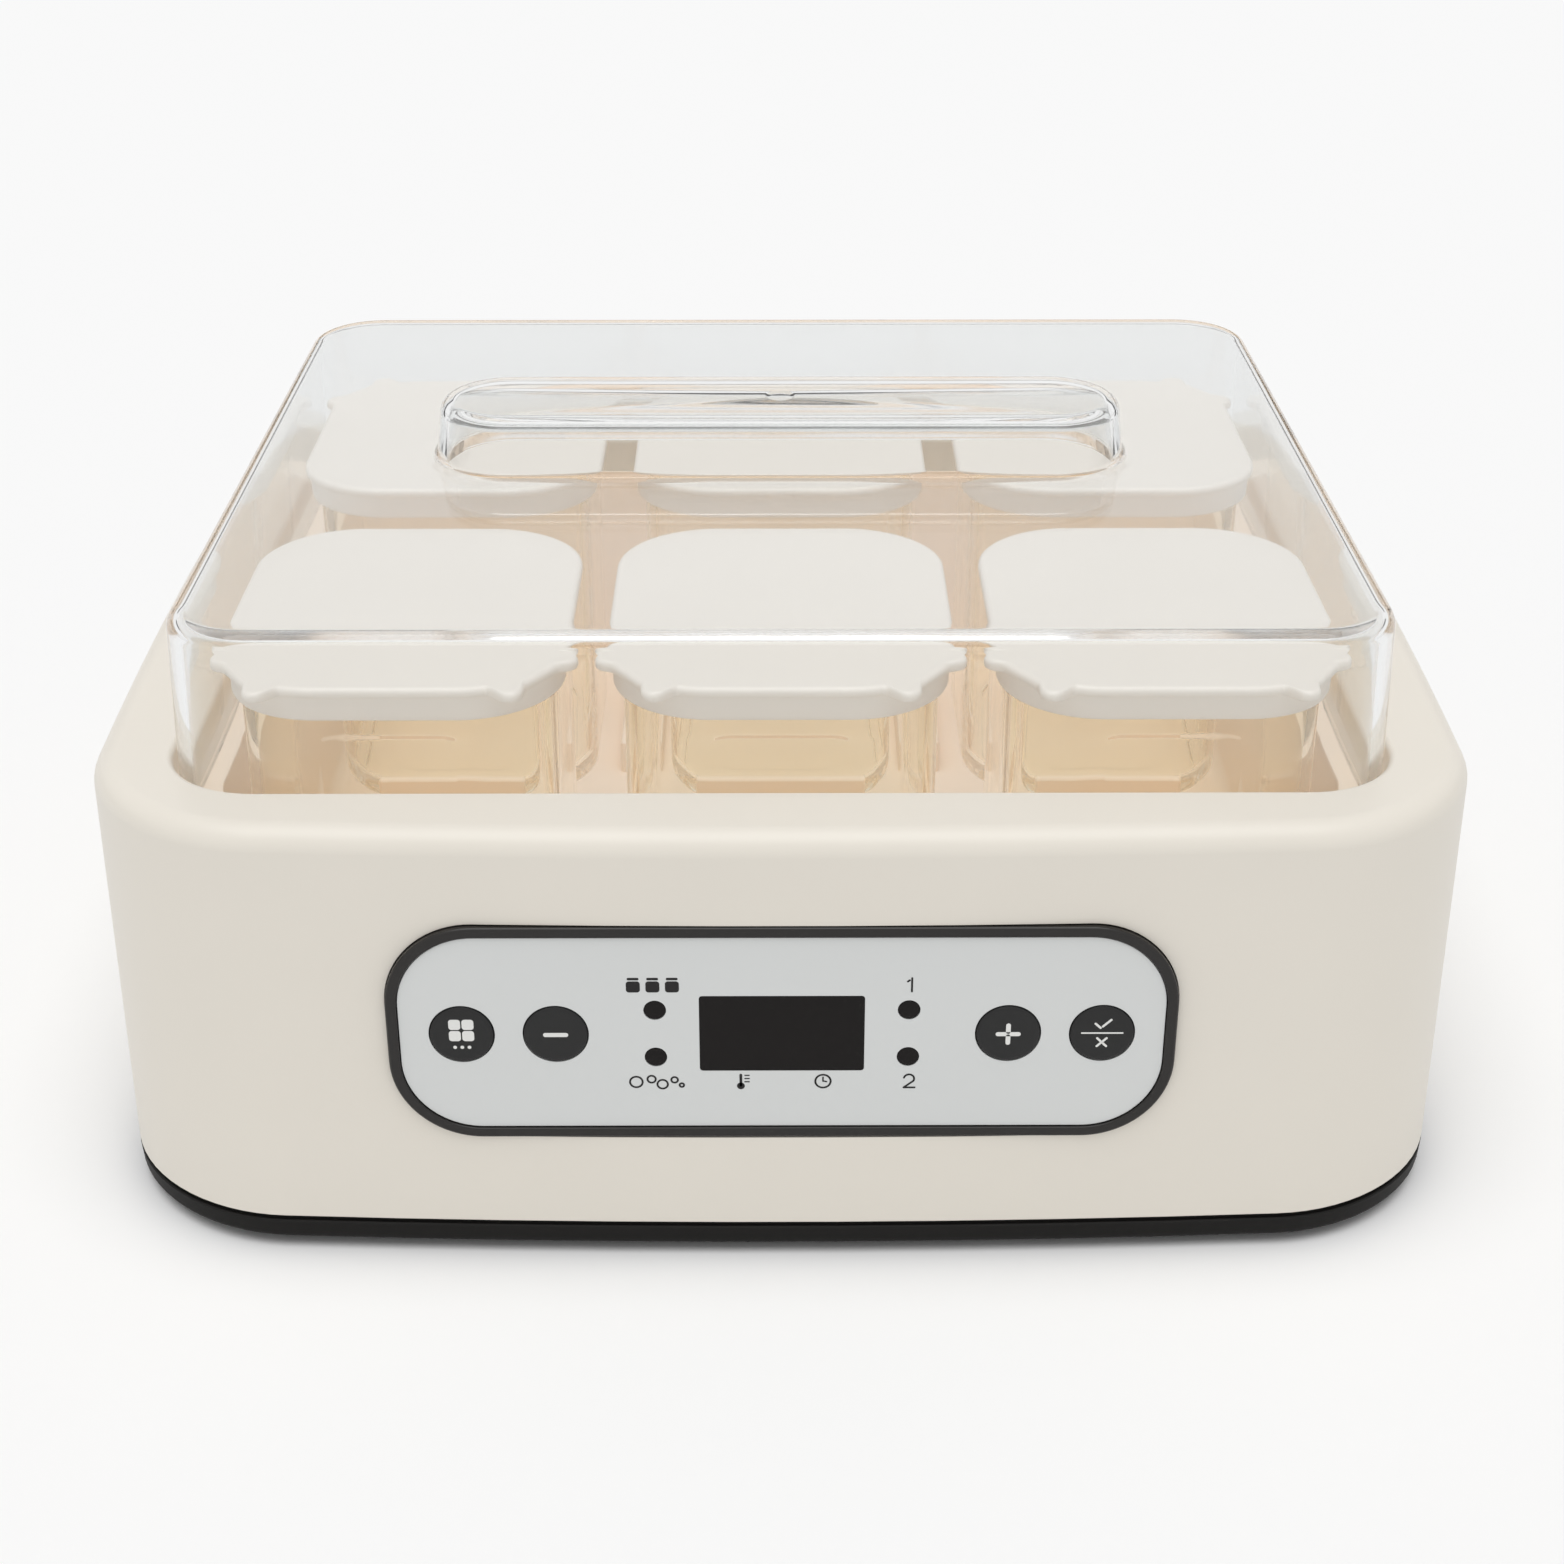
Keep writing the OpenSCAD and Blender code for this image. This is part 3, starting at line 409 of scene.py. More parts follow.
def skinOver(rings, closed=False):  # points and faces of a skin over equal rings
    n, m = len(rings[0]), len(rings)
    points = np.concatenate(rings)
    faces = [(j * n + i, j * n + (i + 1) % n, (j + 1) % m * n + (i + 1) % n, (j + 1) % m * n + i)
             for j in range(m if closed else m - 1) for i in range(n)]
    if not closed:
        faces += [tuple(reversed(range(n))), tuple(range((m - 1) * n, m * n))]
    return points, faces


def turned(profile, steps=48, centre=(0, 0)):  # a turned solid from (radius, height) pairs
    return skinOver([circle(max(r, 0.02), z, steps, centre) for r, z in profile])


def joined(*shells):  # several skins as one
    points, faces, count = [], [], 0
    for p, f in shells:
        points.append(p)
        faces += [tuple(i + count for i in face) for face in f]
        count += len(p)
    return np.concatenate(points), faces


def meshFrom(name, shell):
    points, faces = shell
    mesh = bpy.data.meshes.new(name)
    mesh.from_pydata((np.asarray(points) * mm).tolist(), [], faces)
    work = bmesh.new()
    work.from_mesh(mesh)
    bmesh.ops.recalc_face_normals(work, faces=work.faces)
    work.to_mesh(mesh)
    work.free()
    return mesh


def objectFrom(name, shell):
    return putIn(name, meshFrom(name, shell))


def carve(obj, shell, operation="DIFFERENCE"):  # cuts or adds a closed shell
    tool = objectFrom("tool", shell)
    change = obj.modifiers.new("carve", "BOOLEAN")
    change.operation = operation
    change.solver = "EXACT"
    change.object = tool
    graph = bpy.context.evaluated_depsgraph_get()
    mesh = bpy.data.meshes.new_from_object(obj.evaluated_get(graph))
    obj.modifiers.clear()
    obj.data = mesh
    mesh.name = obj.name
    bpy.data.objects.remove(tool)


def dress(obj, finish, body, stands=(), sharp=32, even=True):  # finish, shading, place
    mesh = obj.data
    mesh.materials.clear()
    mesh.materials.append(finishes[finish])
    mesh.shade_smooth()
    mesh.set_sharp_from_angle(angle=math.radians(sharp))
    if even:
        shading = obj.modifiers.new("evenShading", "WEIGHTED_NORMAL")
        shading.keep_sharp = True
    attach(obj, body)
    if stands:
        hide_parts(*stands)
    return obj


# Housing: outer shell, tub and base

shellLow, shellHigh = boxOf("outer_shell")
coverLow, coverHigh = boxOf("clear_cover")
tubLow, tubHigh = boxOf("inner_tub")
baseLow, baseHigh = boxOf("base_cover")
jarLow, jarHigh = boxOf("jar_front_middle")
bezelLow, bezelHigh = boxOf("panel_bezel")
inletLow, inletHigh = boxOf("power_inlet")
footHigh = boxOf("rubber_feet")[1]

housing = {
    "flare": 0.5,          # each wall splays out this much down to the base
    "cornerR": 34,
    "bow": (3, 4.3),
    "rimEdgeR": 4.5,
    "lipR": 1.2,
    "wall": 2.6,
    "openingGap": 0.9,     # round the cover's foot
    "openingR": 17.8,
    "panelHole": (0.4, 16.7),           # wider and higher than the frame by this much, corner radius
    "inletHole": (19.4, 11.4, 2.2),     # width, height, corner radius
}
rimZ = shellHigh[2]
bandTop = shellLow[2]
ledgeZ = coverLow[2]
rimW = 2 * shellHigh[0] - 2 * housing["flare"]
rimD = 2 * shellHigh[1] - 2 * housing["flare"]
openW = 2 * coverHigh[0] + 2 * housing["openingGap"]
openD = 2 * coverHigh[1] + 2 * housing["openingGap"]
panel = {"y": bezelLow[1], "z": (bezelLow[2] + bezelHigh[2]) / 2}
rowY = -(jarLow[1] + jarHigh[1]) / 2
columnX = boxOf("lid_front_right")[0][0] - boxOf("lid_front_middle")[0][0]

# Radius and height of the head, radius of the shank
screws = {"case": (2.8, 1.9, 1.45), "board": (2.2, 1.6, 1.1), "panel": (2.0, 1.4, 0.9)}
foot = {"r": 7, "fit": 0.05, "pocket": 1}


def bodyRing(inset, z):
    grow = housing["flare"] * (rimZ - z) / (rimZ - bandTop) - inset
    return ring(rimW + 2 * grow, rimD + 2 * grow, housing["cornerR"] - inset, z, housing["bow"])


def openRing(grow, z):
    return ring(openW + 2 * grow, openD + 2 * grow, housing["openingR"] + grow, z)


def makeShell():
    wall, edge, lip = housing["wall"], housing["rimEdgeR"], housing["lipR"]
    rings = [bodyRing(0.3, bandTop), bodyRing(0, bandTop + 0.3)]
    rings += [bodyRing(inset, rimZ - edge + rise) for inset, rise in quarter(edge, 10)]
    rings += [openRing(inset, rimZ - lip + rise) for inset, rise in reversed(quarter(lip, 5))]
    rings += [openRing(0, ledgeZ), openRing(wall, ledgeZ), openRing(wall, rimZ - wall),
              bodyRing(wall + 1.5, rimZ - wall), bodyRing(wall, rimZ - wall - 1.5),
              bodyRing(wall, bandTop)]
    obj = objectFrom("outerShell", skinOver(rings, closed=True))
    gap, r = housing["panelHole"]
    w, h = bezelHigh[0] - bezelLow[0] + gap, bezelHigh[2] - bezelLow[2] + gap
    hole = [onPanel(ring(w, h, r, z)) for z in (-14, 6)]
    cx, cz = (inletLow[0] + inletHigh[0]) / 2, (inletLow[2] + inletHigh[2]) / 2
    plan = outline(*housing["inletHole"], 8, 2)
    tunnel = [np.column_stack([cx + plan[:, 0], np.full(len(plan), y), cz + plan[:, 1]])
              for y in (shellHigh[1] - 9, shellHigh[1] + 4)]
    carve(obj, joined(skinOver(hole), skinOver(tunnel)))
    return dress(obj, "creamAbsMoulded", "housing", ["outer_shell"])


tub = {
    "wall": 2,
    "cornerR": 14,
    "floorR": 4,
    "lean": 1.5,
    "flange": 2.4,
    "room": (3.5, 4.5),
    "ribHeight": 8,
    "ribWall": 2,
}


def makeTub():
    floorZ = jarLow[2]
    under = floorZ - tub["wall"]
    topZ = ledgeZ
    jarsLeft, jarsRight = boxOf("jar_front_left")[0][0], boxOf("jar_front_right")[1][0]
    front, back = boxOf("jar_front_left")[0][1], boxOf("jar_back_left")[1][1]
    w, d = jarsRight - jarsLeft + 2 * tub["room"][0], back - front + 2 * tub["room"][1]
    r, t, fr = tub["cornerR"], tub["wall"], tub["floorR"]

    def tubRing(grow, z):
        g = grow - tub["lean"] * (topZ - z) / (topZ - floorZ)
        return ring(w + 2 * g, d + 2 * g, r + grow, z)
    flangeZ = topZ - tub["flange"]
    flangeGrow = tubHigh[0] - openW / 2
    rings = [tubRing(t - inset, under + fr - rise) for inset, rise in reversed(quarter(fr))]
    rings += [tubRing(t, flangeZ - 1), tubRing(t + 0.6, flangeZ), openRing(flangeGrow, flangeZ),
              openRing(flangeGrow, topZ), tubRing(1, topZ), tubRing(0.3, topZ - 0.3), tubRing(0, topZ - 1)]
    rings += [tubRing(-inset, floorZ + fr - rise) for inset, rise in quarter(fr)]
    obj = objectFrom("innerTub", skinOver(rings))
    jarW, jarD = jarHigh[0] - jarLow[0], jarHigh[1] - jarLow[1]
    gap = 2 * boxOf("lid_back_left")[0][1]
    ribs = []

    def rib(x, y, rw, rd):
        z0, z1, e = floorZ - 1, floorZ + tub["ribHeight"], 0.6
        ribs.append(skinOver([ring(rw, rd, 0.9, z0, arc=4, side=1), ring(rw, rd, 0.9, z1 - e, arc=4, side=1),
                              ring(rw - e, rd - e, 0.6, z1 - 0.15, arc=4, side=1),
                              ring(rw - 2 * e, rd - 2 * e, 0.3, z1, arc=4, side=1)]))
        ribs[-1][0][:, 0] += x
        ribs[-1][0][:, 1] += y
    for s in (-1, 1):
        for side in (-1, 1):
            rib(s * columnX / 2, side * rowY, tub["ribWall"], jarD * 0.6)
        for i in (-1, 0, 1):
            rib(i * columnX, s * (gap / 2 - tub["ribWall"] / 2), jarW * 0.6, tub["ribWall"])
    postHigh = boxOf("base_screws")[1]
    headR, shankR = screws["case"][0], screws["case"][2]
    postTop, postR = under + 0.5, 4.5
    for at in fourCorners(postHigh[0] - headR, postHigh[1] - headR):
        ribs.append(turned([(shankR, postTop - 12), (shankR, tubLow[2]), (postR - 0.4, tubLow[2]),
                            (postR, tubLow[2] + 0.4), (postR, postTop)], 40, at))
    carve(obj, joined(*ribs), "UNION")
    return dress(obj, "warmTubMoulded", "housing", ["inner_tub"])


base = {"groove": 0.8, "grooveHigh": 0.9, "floor": 2.4, "ventPitch": 9, "ventLong": 34}


def makeBase():
    lowZ, wall = baseLow[2], housing["wall"]
    groove, grooveZ = base["groove"], bandTop - base["grooveHigh"]
    tongue = wall + 0.3
    top = baseHigh[2]
    floorZ = lowZ + base["floor"]
    rings = [bodyRing(3, lowZ)]
    rings += [bodyRing(0.2 + (3 - 0.2) * (1 - math.sin(a)), lowZ + 2 * (1 - math.cos(a)))
              for a in np.linspace(0.25, math.pi / 2, 6)]
    rings += [bodyRing(inset, z) for inset, z in (
        (0, grooveZ - 0.25), (0.25, grooveZ), (groove, grooveZ), (groove, bandTop), (tongue, bandTop),
        (tongue, top - 0.4), (tongue + 0.4, top), (tongue + 1.8, top), (tongue + 1.8, floorZ + 1),
        (tongue + 2.1, floorZ + 0.3), (tongue + 2.8, floorZ))]
    obj = objectFrom("baseCover", skinOver(rings))
    screwHigh, headR = boxOf("base_screws")[1], screws["case"][0]
    boardLow, boardHigh = boxOf("power_board")
    half = (boardHigh - boardLow) / 2 - 4
    pocketR = foot["r"] + foot["fit"]
    posts, cuts = [], []
    for caseAt, boardAt, footAt in zip(fourCorners(screwHigh[0] - headR, screwHigh[1] - headR),
                                       fourCorners(half[0], half[1], (boardLow + boardHigh) / 2),
                                       fourCorners(footHigh[0] - foot["r"], footHigh[1] - foot["r"])):
        posts += [turned([(6.4, lowZ + 0.6), (6.4, floorZ), (6, floorZ + 0.5), (6, lowZ + 6)], 48, caseAt),
                  turned([(3, lowZ + 0.6), (3, boardLow[2])], 32, boardAt)]
        cuts += [turned([(3.3, lowZ - 1), (3.3, lowZ + 2.3), (1.55, lowZ + 2.3), (1.55, lowZ + 7)],
                        40, caseAt),
                 turned([(1.1, lowZ + 1), (1.1, boardLow[2] + 1)], 24, boardAt),
                 turned([(pocketR, lowZ - 1), (pocketR, lowZ + foot["pocket"])], 48, footAt)]
    for i in range(-4, 5):
        slot = [ring(3 + g, base["ventLong"] + g, 1.49 + g / 2, z, arc=8, side=1) for g, z in
                ((1.2, lowZ - 0.6), (0, lowZ + 0.3), (0, floorZ + 2))]
        for p in slot:
            p[:, 0] += i * base["ventPitch"]
            p[:, 1] -= rowY
        cuts.append(skinOver(slot))
    carve(obj, joined(*posts), "UNION")
    carve(obj, joined(*cuts))
    return dress(obj, "blackBaseMoulded", "housing", ["base_cover"])


makeShell()
makeTub()
makeBase()
print("housing made")


# Feet and screws

def makeFeet():
    r, high = foot["r"], footHigh[2]
    profile = [(0, 0.35), (r - 3.6, 0.35), (r - 3.1, 0.05), (r - 2.9, 0), (r - 0.9, 0), (r - 0.45, 0.2),
               (r - 0.2, 0.6), (r - 0.1, high), (0, high)]
    obj = objectFrom("rubberFeet", joined(*[turned(profile, 48, at) for at in
                                            fourCorners(footHigh[0] - r, footHigh[1] - r)]))
    dress(obj, "rubberMoulded", "housing", ["rubber_feet"])


def screwMesh(headR, headH, shankR, shankL):  # pan head down, cross recess, threaded shank up
    head = [(0, -headH), (headR * 0.55, -headH), (headR * 0.8, -headH * 0.86),
            (headR * 0.96, -headH * 0.55), (headR, -headH * 0.2), (headR, 0), (shankR, 0)]
    pitch, z, thread = 0.9, 0.5, []
    while z < shankL - 1.2:
        thread += [(shankR * 0.8, z), (shankR, z + pitch * 0.3), (shankR, z + pitch * 0.4),
                   (shankR * 0.8, z + pitch * 0.7)]
        z += pitch
    obj = objectFrom("screw", turned(head + thread + [(shankR * 0.5, shankL - 0.6), (0, shankL)], 28))
    for a in (0, math.pi / 2):  # the two arms of the cross recess
        turn = np.array([[math.cos(a), math.sin(a)], [-math.sin(a), math.cos(a)]])
        blade = []
        for half, deep, z in ((0.62, 0.14, -headH - 0.1), (0.3, 0.1, -headH * 0.35)):
            p = headR * np.array([(half, deep), (-half, deep), (-half, -deep), (half, -deep)])
            blade.append(level(p @ turn, z))
        carve(obj, skinOver(blade))
    points = np.array([v.co[:] for v in obj.data.vertices]) / mm
    faces = [tuple(p.vertices) for p in obj.data.polygons]
    bpy.data.objects.remove(obj)
    return points, faces


def makeScrews(name, node, places, size, long, turn):
    points, faces = screwMesh(*screws[size], long - screws[size][1])
    shells = [(points @ np.array(turn).T + np.array(at), faces) for at in places]
    obj = objectFrom(name, joined(*shells))
    dress(obj, "steelZincPlated", "housing", [node], sharp=40)


upright = ((1, 0, 0), (0, 1, 0), (0, 0, 1))
towardsFront = ((1, 0, 0), (0, 0, -1), (0, 1, 0))  # shank along -Y
upsideDown = ((1, 0, 0), (0, -1, 0), (0, 0, -1))


def screwCorners(low, high, inset, z):
    half = (high - low) / 2 - inset
    return [(x, y, z) for x, y in fourCorners(half[0], half[1], (low + high) / 2)]


def makeAllScrews():
    low, high = boxOf("base_screws")
    headR, headH, _ = screws["case"]
    makeScrews("baseScrews", "base_screws", screwCorners(low, high, headR, low[2] + headH), "case",
               high[2] - low[2], upright)
    low, high = boxOf("tub_screws")
    x, y, z = high[0] - headR, high[1] - headR, low[2] + headH
    places = [p for s in (-1, 1) for p in ((s * x, -rowY, z), (s * x, rowY, z), (-columnX, s * y, z),
                                          (columnX, s * y, z))]
    makeScrews("tubScrews", "tub_screws", places, "case", high[2] - low[2], upright)
    low, high = boxOf("power_screws")
    headR, headH, _ = screws["board"]
    makeScrews("powerScrews", "power_screws", screwCorners(low, high, headR, high[2] - headH), "board",
               high[2] - low[2], upsideDown)
    low, high = boxOf("panel_screws")
    headR, headH, _ = screws["panel"]
    places = [(sx * (high[0] - headR), high[1] - headH, z) for sx in (-1, 1)
              for z in (low[2] + headR, high[2] - headR)]
    makeScrews("panelScrews", "panel_screws", places, "panel", high[1] - low[1], towardsFront)


makeFeet()
makeAllScrews()
print("feet and screws made")


# Clear cover with its hollow grip bar

cover = {
    "wall": 2.5,
    "cornerR": 16,
    "edgeR": 3.6,
    "softBand": 2.5,     # how far the roundings shade into the flats
    "spread": 0.9,
    "barLean": 1.4,
    "barEdgeR": 2.4,
    "barWall": 2.2,
    "barSize": (140, 29, 11.9),
    "gateR": 2.9,        # shallow gate well moulded in the bar's top
}


def makeCover():
    topZ = coverHigh[2] - cover["barSize"][2]
    barTop = coverHigh[2]
    tall = topZ - ledgeZ
    w, d = 2 * coverHigh[0] - 2 * cover["spread"], 2 * coverHigh[1] - 2 * cover["spread"]
    barL, barW, barH = cover["barSize"]
    wall, edge, band = cover["wall"], cover["edgeR"], cover["softBand"]
    inner = max(edge - wall, 0.8)
    steps = {"arc": 20, "side": 8}

    def coverRing(inset, z):
        s = cover["spread"] * (topZ - z) / tall - inset
        return ring(w + 2 * s, d + 2 * s, max(cover["cornerR"] - inset, 2), z, **steps)

    def barRing(inset, z):
        s = cover["barLean"] * (barTop - z) / barH - inset
        return ring(barL + 2 * s, barW + 2 * s, barW / 2 + s - 0.4, z, **steps)

    barEdge, barWall, under = cover["barEdgeR"], cover["barWall"], topZ - wall
    count = len(coverRing(0, topZ))

    def gate(r, z):  # the bar's outline drawn in to a circle
        flat = barRing(0, z)[:, :2]
        turn = np.arctan2(flat[:, 1], flat[:, 0])
        even = np.linspace(0, 2 * math.pi, count, endpoint=False)
        start = turn[0]
        return level(np.column_stack([r * np.cos(even + start), r * np.sin(even + start)]), z)
    small = barEdge - 1
    rings = [barRing(barWall + i, barTop - barWall - small + h) for i, h in reversed(quarter(small, 4))]
    rings += [barRing(barWall, under + 1), barRing(barWall - 0.3, under + 0.3), barRing(barWall - 1, under)]
    rings += [barRing(barWall - 1 - band, under), coverRing(wall + inner + band, under)]
    rings += [coverRing(wall + i, under - inner + h) for i, h in reversed(quarter(inner, 8))]
    rings += [coverRing(i, z) for i, z in (
        (wall, under - inner - band), (wall, ledgeZ + 0.4 + band), (wall, ledgeZ + 0.4),
        (wall - 0.3, ledgeZ), (0.3, ledgeZ), (0, ledgeZ + 0.4), (0, ledgeZ + 0.4 + band),
        (0, topZ - edge - band))]
    rings += [coverRing(i, topZ - edge + h) for i, h in quarter(edge, 10)]
    rings += [coverRing(edge + band, topZ), barRing(-1.2 - band, topZ)]
    rings += [barRing(-1.2 + 1.2 * math.sin(a), topZ + 1.2 * (1 - math.cos(a)))
              for a in np.linspace(0, math.pi / 2, 5)]
    rings += [barRing(i, barTop - barEdge + h) for i, h in quarter(barEdge, 6)]
    r = cover["gateR"]
    rings += [gate(r + 0.35, barTop), gate(r, barTop - 0.12), gate(r - 0.3, barTop - 0.35),
              gate(r - 0.75, barTop - 0.4)]
    obj = objectFrom("clearCover", skinOver(rings))
    return dress(obj, "clearSanPolished", "cover", ["clear_cover"], even=False)


makeCover()
print("cover made")


# Jars

jar = {
    "wall": 2.2,
    "cornerR": 17.1,
    "heelR": 3.5,
    "field": (33, 55.5),     # raised field on front and back
    "fieldR": 7,
    "fieldDrop": 9,
    "fieldOut": 0.5,
    "fieldSlope": 1.1,
}


def jarShell():
    w = jarHigh[0] - jarLow[0]
    d = jarHigh[1] - jarLow[1] - 2 * jar["fieldOut"]
    tall = jarHigh[2] - jarLow[2]
    r, t, heel = jar["cornerR"], jar["wall"], jar["heelR"]
    fw, fh = jar["field"]
    fieldZ = tall - jar["fieldDrop"] - fh / 2

    def plan(inset, dense=26):
        corner = outline(w - 2 * inset, d - 2 * inset, r - inset, 10, 0)
        points = []
        for i in range(4):
            arcPoints = corner[i * 11:(i + 1) * 11]
            points += list(arcPoints)
            a, b = arcPoints[-1], corner[(i + 1) * 11 % 44]
            if i % 2 == 0:  # front and back, where the field's edges need points
                u = np.linspace(-1, 1, dense + 2)[1:-1]
                u = np.sign(u) * np.abs(u) ** 0.6
            else:
                u = np.linspace(-1, 1, 6)[1:-1]
            points += [a + (b - a) * (k + 1) / 2 for k in u]
        return np.array(points)

    def raised(x, z):  # 1 on the field, 0 off it, with a soft slope
        qx, qz = abs(x) - (fw / 2 - jar["fieldR"]), abs(z - fieldZ) - (fh / 2 - jar["fieldR"])
        away = math.hypot(max(qx, 0), max(qz, 0)) + min(max(qx, qz), 0) - jar["fieldR"]
        s = min(max(0.5 - away / jar["fieldSlope"], 0), 1)
        return s * s * (3 - 2 * s)
    edgeLow, edgeHigh = fieldZ - fh / 2, fieldZ + fh / 2
    heights = [heel + 0.01, tall - 1.1]
    for low, high, count in ((edgeLow - 0.7, edgeLow + 0.7, 6), (edgeLow + 1.2, edgeLow + 7.5, 7),
                             (edgeLow + 14, edgeHigh - 14, 5), (edgeHigh - 7.5, edgeHigh - 1.2, 7),
                             (edgeHigh - 0.7, edgeHigh + 0.7, 6)):
        heights += list(np.linspace(low, high, count))
    rings = [level(plan(t + 8), t + 1)]
    rings += [level(plan(t + 3.2 - 3.2 * math.sin(a)), t + 1 + 3.2 * (1 - math.cos(a)))
              for a in np.linspace(0.15, math.pi / 2, 6)]
    rings += [level(plan(t), tall - 1.0), level(plan(t - 0.3), tall - 0.3), level(plan(t - 0.8), tall),
              level(plan(0.8), tall), level(plan(0.3), tall - 0.3)]
    for z in sorted(heights, reverse=True):
        flat = plan(0)
        for p in flat:
            if abs(p[1]) > d / 2 - 0.01:
                p[1] += math.copysign(jar["fieldOut"] * raised(p[0], z), p[1])
        rings.append(level(flat, z))
    rings += [level(plan(heel * (1 - math.cos(a))), heel * (1 - math.sin(a)))
              for a in np.linspace(0.2, math.pi / 2 - 0.05, 7)]
    rings += [level(plan(heel + 1.6), 0), level(plan(heel + 3), 0.9), level(plan(heel + 8), 1.1)]
    return skinOver(rings)


def putCopies(kind, mesh, finish):  # one for each jar, the back lids turned round
    for node in [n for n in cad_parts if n.startswith(kind + "_")]:
        where = node[len(kind) + 1:]
        low, high = boxOf("jar_" + where)
        obj = putIn(kind + where.title().replace("_", ""), mesh.copy())
        obj.location = [(low[0] + high[0]) / 2 * mm, (low[1] + high[1]) / 2 * mm, boxOf(node)[0][2] * mm]
        if kind == "lid" and where.startswith("back"):
            obj.rotation_euler.z = math.pi
        bpy.context.view_layer.update()
        dress(obj, finish, kind + "_body_" + where, [node])


putCopies("jar", meshFrom("jar", jarShell()), "sodaGlassPressed")
print("jars made")


# Lids

lid = {
    "cornerR": 20,
    "plate": 2,
    "skirt": 1.6,
    "brim": 1,
    "edgeR": 1.1,
    "nubR": 2.8,
    "tabR": 1.2,
    "nubOut": 2.0,
    "nubSide": 14.2,       # from the front edge to the nub on the side
    "nubFront": 9.8,      # from the side to the nub on the front edge
    "nubBlend": 1.5,
}


def lidShell():
    low, high = boxOf("lid_front_middle")
    w = high[0] - low[0] - 2 * lid["nubOut"]
    d = 2 * (high[1] - (jarLow[1] + jarHigh[1]) / 2)
    tall = high[2] - low[2]
    r, brim, skirt = lid["cornerR"], lid["brim"], lid["skirt"]
    steps = {"arc": 72, "side": 36}
    base0 = outline(w, d, r, **steps)
    along = np.roll(base0, -1, 0) - np.roll(base0, 1, 0)
    along /= np.linalg.norm(along, axis=1)[:, None]
    out = np.column_stack([along[:, 1], -along[:, 0]])
    reach, knob, bar = lid["nubOut"] - lid["nubR"], lid["nubR"], lid["tabR"]
    push = np.zeros(len(base0))
    for s in (-1, 1):  # a bar across each front corner, its round ends stand out as nubs
        a = np.array([s * (w / 2 + reach), -d / 2 + lid["nubSide"]])
        b = np.array([s * (w / 2 - lid["nubFront"]), -d / 2 - reach])
        for t in np.arange(0, 6, 0.05):
            p = base0 + out * t - a
            share = np.clip(p @ (b - a) / np.dot(b - a, b - a), 0, 1)
            inside = np.linalg.norm(p - share[:, None] * (b - a), axis=1) < bar
            inside |= np.minimum(np.linalg.norm(p, axis=1), np.linalg.norm(p + a - b, axis=1)) < knob
            push[inside] = np.maximum(push[inside], t)
    step = np.linalg.norm(base0[20] - base0[19])
    reachOver = np.arange(-8, 9) * step
    weights = np.exp(-(reachOver / (lid["nubBlend"] / 2)) ** 2)
    top = push.max()
    push = sum(np.roll(push, k - 8) * v for k, v in enumerate(weights / weights.sum()))
    push *= top / max(push.max(), 0.01)

    def plateRing(inset, z):
        p = outline(w, d, r, **steps) + out * (push - inset)[:, None]
        return level(p, z)

    def skirtRing(inset, z):
        return level(outline(w - 2 * inset, d - 2 * inset, r - inset, **steps), z)
    e = lid["edgeR"]
    under = tall - lid["plate"]
    rings = [skirtRing(brim + i, z) for i, z in (
        (skirt + 1.2, under), (skirt + 0.3, under - 0.3), (skirt, under - 1.2), (skirt, 0.3),
        (skirt - 0.3, 0), (0.5, 0), (0.15, 0.15), (0, 0.5), (0, under - 0.3), (-0.2, under))]
    rings += [plateRing(0.35, under), plateRing(0.1, under + 0.1), plateRing(0, under + 0.35)]
    rings += [plateRing(i, tall - e + h) for i, h in quarter(e, 7)]
    rings += [skirtRing(e + 3.2, tall)]
    return skinOver(rings)


putCopies("lid", meshFrom("lid", lidShell()), "creamLidMoulded")
print("lids made")


# Control panel

panelParts = {
    "cornerR": 16.5,
    "frame": 2.1,
    "labelIn": 0.5,        # label's face below the frame's
    "labelThick": 0.8,
    "labelGap": 0.15,
    "tray": 2,
    "depth": 8,
    "hole": 12,
    "keyR": 5.85,
    "keyOut": 0.3,
    "lensR": 2,
}
keys = {"mode": "button_mode", "minus": "button_minus", "plus": "button_plus", "confirm": "button_confirm"}


def centreOnPanel(node):
    low, high = boxOf(node)
    return (low[0] + high[0]) / 2, (low[2] + high[2]) / 2 - panel["z"]


def moved(shell, x, y, z=0):
    points, faces = shell
    return points + np.array([x, y, z]), faces


def panelShell(*shells):
    points, faces = joined(*shells)
    return onPanel(points), faces


def lensPlaces():
    low, high = boxOf("indicator_lenses")
    r = panelParts["lensR"]
    return fourCorners(high[0] - r, (high[2] - low[2]) / 2 - r)


def panelCuts(z0, z1):
    cuts = []
    for node in keys.values():
        x, y = centreOnPanel(node)
        cuts.append(skinOver([circle(panelParts["hole"] / 2, z, 64, (x, y)) for z in (z0, z1)]))
    for x, y in lensPlaces():
        cuts.append(skinOver([circle(panelParts["lensR"] + 0.05, z, 40, (x, y)) for z in (z0, z1)]))
    low, high = boxOf("display_window")
    w, h = high[0] - low[0], high[2] - low[2]
    cuts.append(skinOver([ring(w, h, 0.6, z, arc=4, side=1) for z in (z0, z1)]))
    return panelShell(*cuts)


